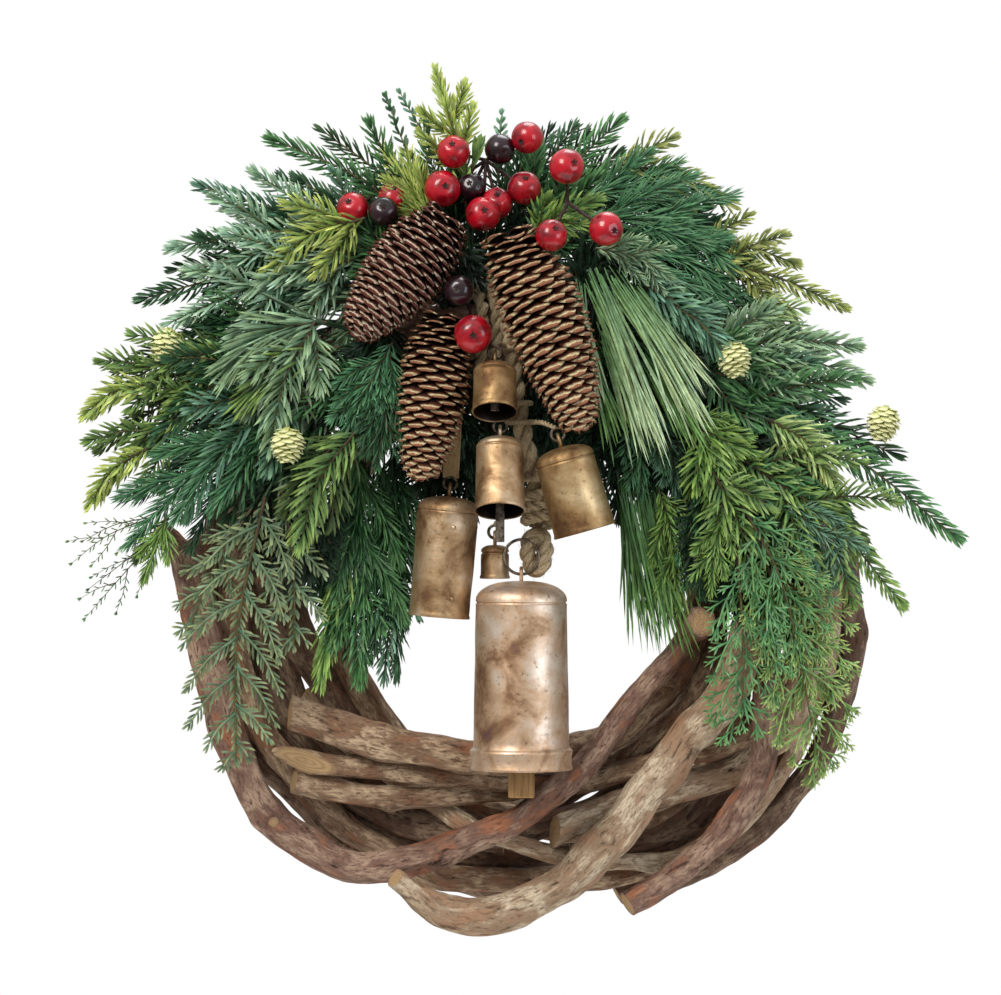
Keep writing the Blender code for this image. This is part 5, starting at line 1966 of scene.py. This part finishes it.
@dataclass(frozen=True)
class TinBell:
    """A beaten tin bell on its wire eye, with its clapper.

    Attributes:
        name: the bell's name in its nodes, bodies and joints.
        finish: its metal.
        band: whether a band stands out round its mouth.
        band_height: the band's height.
        seam: how far below its crown the soldered seam runs.
        rivets: how far round and below the crown its rivets sit.
        wooden: whether its clapper is wood.
        wall: the thickness of the tin.
        segments: how many faces go round it.
        eye_wire: the radius of its eye's wire.
        plump: how full its waist is against its CAD solid's.
        rivet: the radius of a rivet.
        beating: how deep the marks of the hammer are.
        crown: the height of its rounded crown against its radius.
    """

    name: str
    finish: AgedBrass = BRASS
    band: bool = False
    band_height: float = 10.0
    seam: float = 3.0
    rivets: tuple[Point, ...] = ()
    wooden: bool = False
    wall: float = 1.2
    segments: int = 72
    eye_wire: float = 0.9
    plump: float = 1.0
    rivet: float = 1.25
    beating: float = 0.24
    crown: float = 0.42

    def build(self) -> None:
        """Makes the bell, and gives its clapper a finish."""
        node = f"bell_{self.name}"
        hang = hang_of(self.name)
        top, foot, mouth, waist = self.measure(node, hang)
        waist *= self.plump
        shell = self.shell(top, foot, mouth, waist)
        x, y, z = (column(row) for row in shell.corners.T)
        round_way = x * hang.side + y * hang.front
        places = hang.eye + round_way + z * hang.axis
        dents = lumps(places * 0.07) + 0.4 * lumps(places * 0.2)
        shell.corners = places + unit(round_way) * column(self.beating * dents)
        piece = Piece(f"{node}_shell", self.finish)
        piece.add(shell)
        piece.add(hoop(hang.eye, hang.front, -hang.axis, top - 0.1, self.eye_wire))
        for turn, below in self.rivets:
            rivet = ball(14, 8, self.rivet)
            angle = math.radians(turn)
            out = math.sin(angle) * hang.side + math.cos(angle) * hang.front
            rivet.corners += hang.eye + hang.axis * (top + below) + out * (waist - 0.35)
            piece.add(rivet)
        clapper = frame["nodes"][f"clapper_{self.name}"]  # its CAD shape is the real one
        clapper.data.materials.clear()
        clapper.data.materials.append((WOOD if self.wooden else IRON).material())
        piece.build("aged_brass", node, body=node, sharp=50.0)

    def measure(self, node: str, hang: Hang) -> tuple[float, float, float, float]:
        """Reads a bell's sizes off its CAD node.

        Args:
            node: the CAD node.
            hang: how it hangs.

        Returns:
            How far below the eye its crown and its mouth are, and its radii at the mouth and the shoulder.
        """
        bm = merged(node)
        away = np.array([vert.co for vert in bm.verts]) - hang.eye
        bm.free()
        down = away @ hang.axis
        radius = np.linalg.norm(away - column(down) * hang.axis, axis=1)
        foot = float(down.max())
        mouth = float(radius[down > foot - 1].max())
        top = float(down[radius < 0.01].min()) if (radius < 0.01).any() else 2.05
        shoulder = (down > 0) & (down < 0.45 * foot)
        return max(top, 1.9), foot, mouth, float(radius[shoulder].max())

    def shell(self, top: float, foot: float, mouth: float, waist: float) -> Patch:
        """Turns the bell's wall from its profile.

        Args:
            top: how far below the eye its crown is.
            foot: how far below the eye its mouth is.
            mouth: its radius at the mouth.
            waist: its radius at the shoulder.

        Returns:
            The wall, with Z down the bell.
        """
        shoulder = self.crown * waist
        lower = mouth - (1.6 if self.band else 0.5)
        seam = top + max(self.seam, shoulder + 0.4)
        start = seam + 2.2
        stop = foot - (self.band_height + 1.2 if self.band else 2.0)

        def crown(steps: Array, wall: float) -> list[Point]:
            """The crown's curve.

            Args:
                steps: degrees along it.
                wall: how far inside the bell it runs.

            Returns:
                Its radii and heights.
            """
            return [
                ((waist - wall) * math.sin(a) ** 0.8, top + wall + (shoulder - wall) * (1 - math.cos(a)))
                for a in np.radians(steps)
            ]

        def flank(steps: Array, wall: float) -> list[Point]:
            """The flank's line, so far inside the bell."""
            return [(waist - wall + (lower - waist) * s**1.4, start + (stop - start) * s) for s in steps]

        outer = crown(np.linspace(0, 90, 16), 0.0)
        outer += [(waist + out, seam + down) for out, down in ((0.05, 0), (-0.55, 0.5), (-0.5, 1.0), (0.05, 1.5))]
        outer += flank(np.linspace(0, 1, 26), 0.0)
        if self.band:
            edge = foot - self.band_height
            outer += [
                (lower + 0.5, edge - 0.3), (mouth - 0.5, edge), (mouth, edge + 0.7), (mouth + 0.05, edge + 1.6),
                (mouth - 0.45, edge + 3.0), (mouth - 0.5, foot - 2.4), (mouth - 0.1, foot - 1.2),
            ]
        outer += [(mouth, foot - 0.6), (mouth - 0.3, foot - 0.05), (mouth - 0.8, foot)]
        inner = [(mouth - self.wall, foot - 0.5), (lower - self.wall, foot - 3.0)]
        inner += flank(np.linspace(0.9, 0, 8), self.wall) + crown(np.linspace(84, 0, 9), self.wall)
        bm = bmesh.new()
        verts = [bm.verts.new((radius, 0.0, height)) for radius, height in outer + inner]
        edges = [bm.edges.new(pair) for pair in zip(verts, verts[1:])]
        patch = turned(bm, verts + edges, self.segments, 0.0005)
        radius, height = np.hypot(patch.corners[:, 0], patch.corners[:, 1]), patch.corners[:, 2]
        skin = np.array(sorted(outer, key=lambda point: point[1]))
        inside = radius < np.interp(height, skin[:, 1], skin[:, 0]) - 0.6 * self.wall
        # Marks the inside of the bell, where painted shade darkens the metal to near-black.
        patch.marks["soot"] = (inside & (height > top + 0.5 * self.wall)).astype(float)
        return patch


BELLS = (
    TinBell("big", BRASS_ROSE, band=True, seam=9.6, wooden=True, segments=96),
    TinBell("left", seam=5.0, rivets=((-14.0, 15.0), (-22.0, 50.0)), wooden=True, plump=1.07),
    TinBell("right", BRASS_GOLD, seam=5.0, wooden=True),
    TinBell("middle"),
    TinBell("upper", BRASS_GOLD),
    TinBell("back", seam=2.4, segments=48),
)


# ---------------------------------------------------------------- rope, twine, wires and the cane strip


@dataclass(frozen=True)
class Lay:
    """How a rope is laid up: its radius, its strands, the length of one turn, and the faces round a strand."""

    radius: float
    strands: int
    pitch: float
    sides: int = 12

    SHARES = {2: 0.50, 3: 0.53}  # a strand's distance from the rope's middle, by how many strands there are
    SWELL = 1.10  # how far the strands press into one another
    YARNS = 0.045  # how high a strand's yarns stand, as a share of its radius

    def along(self, line: Line) -> list[Patch]:
        """Lays the strands up round a line.

        Args:
            line: the rope's middle.

        Returns:
            One tube for each strand.
        """
        share = self.SHARES[self.strands]
        yarn = np.linspace(0, math.tau, self.sides, endpoint=False)[None]
        patches = []
        for strand in range(self.strands):
            turn = column(math.tau * line.along / self.pitch + math.tau * strand / self.strands)
            middle = line.points + share * self.radius * (np.cos(turn) * line.up + np.sin(turn) * line.side)
            own = Line(middle, up=line.up[0])
            yarns = self.YARNS * np.sin(5 * yarn + own.along[:, None] * 1.1)
            patches.append(tube(own, (1 - share) * self.radius * self.SWELL * (1 + yarns), self.sides))
        return patches


def fibres(line: Line, radius: float, count: int, seed: int) -> Patch:
    """Loose hairs that stand off a rope.

    Args:
        line: the rope's middle.
        radius: the rope's radius.
        count: how many there are.
        seed: what sets where they stand.

    Returns:
        The hairs.
    """
    random = np.random.default_rng(seed)
    place, ahead, up, side = line.at(random.uniform(0, line.length, count))
    turn = column(random.uniform(0, math.tau, count))
    away = np.cos(turn) * up + np.sin(turn) * side
    hand = column(random.choice([-1.0, 1.0], count))
    way = unit(away * random.uniform(0.25, 0.9, (count, 1)) + hand * ahead)
    aside = unit(np.cross(way, away))
    length = random.uniform(2.0, 5.0, count)
    sizes = np.column_stack([length, np.full((count, 2), 0.16)])
    bend = random.normal(0, 0.5, (count, 1)) * aside * column(length) * 0.4
    patch = tiled(spike(2), place + away * 0.9 * radius, (way, aside, np.cross(way, aside)), sizes, bend)
    patch.marks["grain"] = patch.corners
    return patch


@dataclass(frozen=True)
class Rigging:
    """The jute rope, its wrap round the ring, its knot, and the wires and twines that carry the bells."""

    rope: Lay = Lay(4.6, 2, 21.0)
    wrap: Lay = Lay(3.2, 2, 15.0, 8)
    collar: Lay = Lay(3.0, 3, 12.0, 10)
    fold: Lay = Lay(4.1, 3, 20.0)
    twine: Lay = Lay(1.3, 2, 5.0, 8)
    link: float = 3.2  # the radius of a wire link
    wire: float = 0.8  # the radius of its wire
    bight: Point = (4.3, 8.8)  # half the width and the height of the knot's fold
    coil: float = 5.3  # the radius of the knot's collar
    coils: float = 3.4  # how many turns it has
    strip_half: Point = (0.6, 4.0)  # half the thickness and the width of the cane strip
    hangers: tuple[str, ...] = ("right", "middle", "upper", "back")

    def build(self) -> None:
        """Makes every piece of the rigging."""
        for node, lay, hairs in (("bell_rope", self.rope, 90), ("rope_wrap", self.wrap, 120)):
            piece = Piece(f"{node}_jute", JUTE)
            line = Line(smooth(spine(node)[0], 1.1))
            self.lay_up(piece, lay, line)
            piece.add(fibres(line, lay.radius, hairs, 40 + hairs))
            piece.build("jute", node)
        self.knot()
        self.wire_ring()
        for name in self.hangers:
            self.hanger(name)
        self.strip()

    def lay_up(self, piece: Piece, lay: Lay, line: Line) -> None:
        """Adds a rope's strands to a piece."""
        for patch in lay.along(line):
            piece.add(patch)

    def knot(self) -> None:
        """Makes the knot: a collar of turns over a doubled bight."""
        low, high = box("rope_knot")
        middle = 0.5 * (low + high)
        piece = Piece("rope_knot_jute", JUTE)
        turns = np.linspace(0, self.coils * math.tau, 160)
        climb = np.linspace(high[2] - 10.0, high[2] + 8.0, 160)
        across, ahead = self.coil * np.cos(turns), self.coil * np.sin(turns)
        wound = Line(np.column_stack([middle[0] + across, middle[1] + ahead, climb]), up=-DOWN)
        self.lay_up(piece, self.collar, wound)
        piece.add(fibres(wound, self.collar.radius, 60, 71))
        turn = np.linspace(0.45 * math.pi, 2.55 * math.pi, 110)
        half, drop = self.bight
        bight = Line(np.column_stack([
            middle[0] + half * np.cos(turn) * (1.0 + 0.15 * np.sin(turn)),
            middle[1] + 1.2 * np.sin(2 * turn),
            low[2] + drop + self.fold.radius + drop * np.sin(turn),
        ]))
        self.lay_up(piece, self.fold, bight)
        piece.add(fibres(bight, self.fold.radius - 0.2, 90, 72))
        piece.build("jute", "rope_knot")

    def wire_ring(self) -> None:
        """Makes the thin ring that joins the knot to the big bell."""
        low, high = box("wire_ring")
        piece = Piece("wire_ring_iron", IRON)
        piece.add(hoop(0.5 * (low + high), RIGHT, -DOWN, 0.5 * (high[2] - low[2]) - self.wire, self.wire))
        piece.build("iron_wire", "wire_ring")

    def hook_on(self, piece: Piece, eye: Array, axis: Array) -> Array:
        """Adds the link in a bell's eye, and gives the top of it.

        Args:
            piece: the piece that the link belongs to.
            eye: the middle of the bell's eye.
            axis: the way down through the link.

        Returns:
            The link's top.
        """
        piece.add(hoop(eye - axis * self.link, np.cross(axis, VIEWER), axis, self.link, self.wire), 1)
        return eye - axis * 2 * self.link

    def hanger(self, name: str) -> None:
        """Makes a bell's hanger: a turn of twine round the rope, the twine, and the link in the bell's eye.

        Args:
            name: the bell's name.
        """
        node = f"hanger_{name}"
        hang = hang_of(name)
        rope, _ = spine("bell_rope")
        rope = rope[np.argsort(rope[:, 2])]
        level = box(node)[1][2] - self.twine.radius
        centre = np.array([np.interp(level, rope[:, 2], row) for row in rope.T])
        reach = self.rope.radius + self.twine.radius + 0.5
        piece = Piece(f"{node}_twine", JUTE, IRON)
        start = self.hook_on(piece, hang.eye, unit(hang.axis * (1.0, 0.0, 1.0)))
        piece.add(hoop(centre, RIGHT, -VIEWER, reach, self.twine.radius))
        rim = centre + unit((start - centre) * (1.0, 1.0, 0.0)) * reach
        self.lay_up(piece, self.twine, Line(smooth([start, 0.5 * (start + rim) - DOWN * 1.2, rim], 0.8)))
        piece.build("jute", node)

    def strip(self) -> None:
        """Makes the split cane that carries the left bell, and the link at its foot."""
        low, high = box("cane_strip")
        hang = hang_of("left")
        piece = Piece("cane_strip_split", CANE, IRON)
        foot = self.hook_on(piece, hang.eye, hang.axis) + hang.axis * 0.5
        head = np.array([0.5 * (low[0] + high[0]) + 1.0, high[1] - 0.6, high[2] - 7.0])
        middle = 0.5 * (foot + head)
        middle[1] = foot[1]
        line = Line(smooth([foot, middle, head, head - 7.0 * DOWN], 2.0))
        turn = np.arange(16) * math.tau / 16
        thick, wide = self.strip_half
        flat = 1 / np.maximum(np.abs(np.cos(turn)) / thick, np.abs(np.sin(turn)) / wide)
        piece.add(tube(line, np.tile(flat, (len(line.points), 1)), 16))
        piece.build("vine_bark", "cane_strip")


# ---------------------------------------------------------------- studio


@dataclass(frozen=True)
class Studio:
    """The floor, the lights and the camera."""

    focus: Triple = (-12.75, -42.0, -82.25)  # the middle of the view
    distance: float = 2000.0
    field_width: float = 500.5  # what the camera takes in at the focus
    sensor: float = 36.0
    floor_drop: float = 760.0
    floor_radius: float = 900.0
    lamp_width: float = 900.0
    lamps: tuple[tuple[str, Triple, float, str], ...] = (
        ("key", (-900, -1500, 1150), 34.0, "#FFF8F0"),
        ("fill", (1300, -1200, 100), 9.0, "#F2F6FF"),
        ("top", (200, 500, 1500), 14.0, "#FFFFFF"),
    )

    def build(self) -> None:
        """Sets the studio up."""
        self.floor()
        for lamp in self.lamps:
            self.lamp(*lamp)
        self.surround()
        self.camera()

    def floor(self) -> None:
        """Lays a plain pale disc well below the wreath."""
        bm = bmesh.new()
        bmesh.ops.create_circle(bm, cap_ends=True, segments=96, radius=self.floor_radius * MM)
        bmesh.ops.translate(bm, verts=bm.verts[:], vec=(0, 0, -self.floor_drop * MM))
        mesh = bpy.data.meshes.new("studio_floor")
        bm.to_mesh(mesh)
        bm.free()
        mesh.materials.append(EMULSION.material())
        linked("studio_floor", mesh)

    def lamp(self, name: str, place: Triple, power: float, colour: str) -> None:
        """Stands up a square soft light that looks at the wreath.

        Args:
            name: its name.
            place: where it stands, in millimetres.
            power: its power in watts.
            colour: its sRGB colour.
        """
        light = bpy.data.lights.new(name, "AREA")
        light.energy = power
        light.size = self.lamp_width * MM
        light.color = linear(colour)[:3]
        obj = linked(name, light)
        obj.location = Vector(place) * MM
        toward = Vector(self.focus) * MM - obj.location
        obj.rotation_euler = toward.to_track_quat("-Z", "Y").to_euler()

    def surround(self) -> None:
        """Makes a white backdrop to look at, and a softer, darker one to light by."""
        world = bpy.data.worlds.new("studio_surround")
        bpy.context.scene.world = world
        world.use_nodes = True
        shading = Shading(world.node_tree, "Background")
        height = shading.add("SeparateXYZ", {0: shading.add("TexCoord", out="Generated")}, "Z")
        share = shading.add("MapRange", {"Value": height, "From Min": -1.0, "From Max": 1.0})
        glow = shading.ramp(share, ((0.0, "#6E6A66"), (1.0, "#F2F4F8"), (0.5, "#9C9A98")))
        seen = shading.add("LightPath", out="Is Camera Ray")
        shading.finish({"Color": shading.mix(seen, glow, linear("#FFFFFF")), "Strength": 1.0})

    def camera(self) -> None:
        """Stands up a long lens square on to the wreath."""
        data = bpy.data.cameras.new("camera")
        data.sensor_width = self.sensor
        data.lens = self.sensor * self.distance / self.field_width
        obj = linked("camera", data)
        x, y, z = self.focus
        obj.location = Vector((x, y - self.distance, z)) * MM
        obj.rotation_euler = (math.pi / 2, 0.0, 0.0)
        bpy.context.scene.camera = obj
        bpy.context.scene.view_settings.view_transform = "Standard"


def main() -> None:
    """Builds the wreath, piece by piece, and the studio round it."""
    logging.basicConfig(level=logging.INFO, format="%(name)s: %(message)s")
    Studio().build()
    for number, vine in enumerate(VINES):
        vine.build(number)
    for number, (node, root, sprays) in enumerate(BOUGHS):
        Bough(node, root, sprays, number).build()
    for thing in (*FRUITS, *PICKS, *BELLS, Rigging()):
        thing.build()


if __name__ == "__main__":
    main()
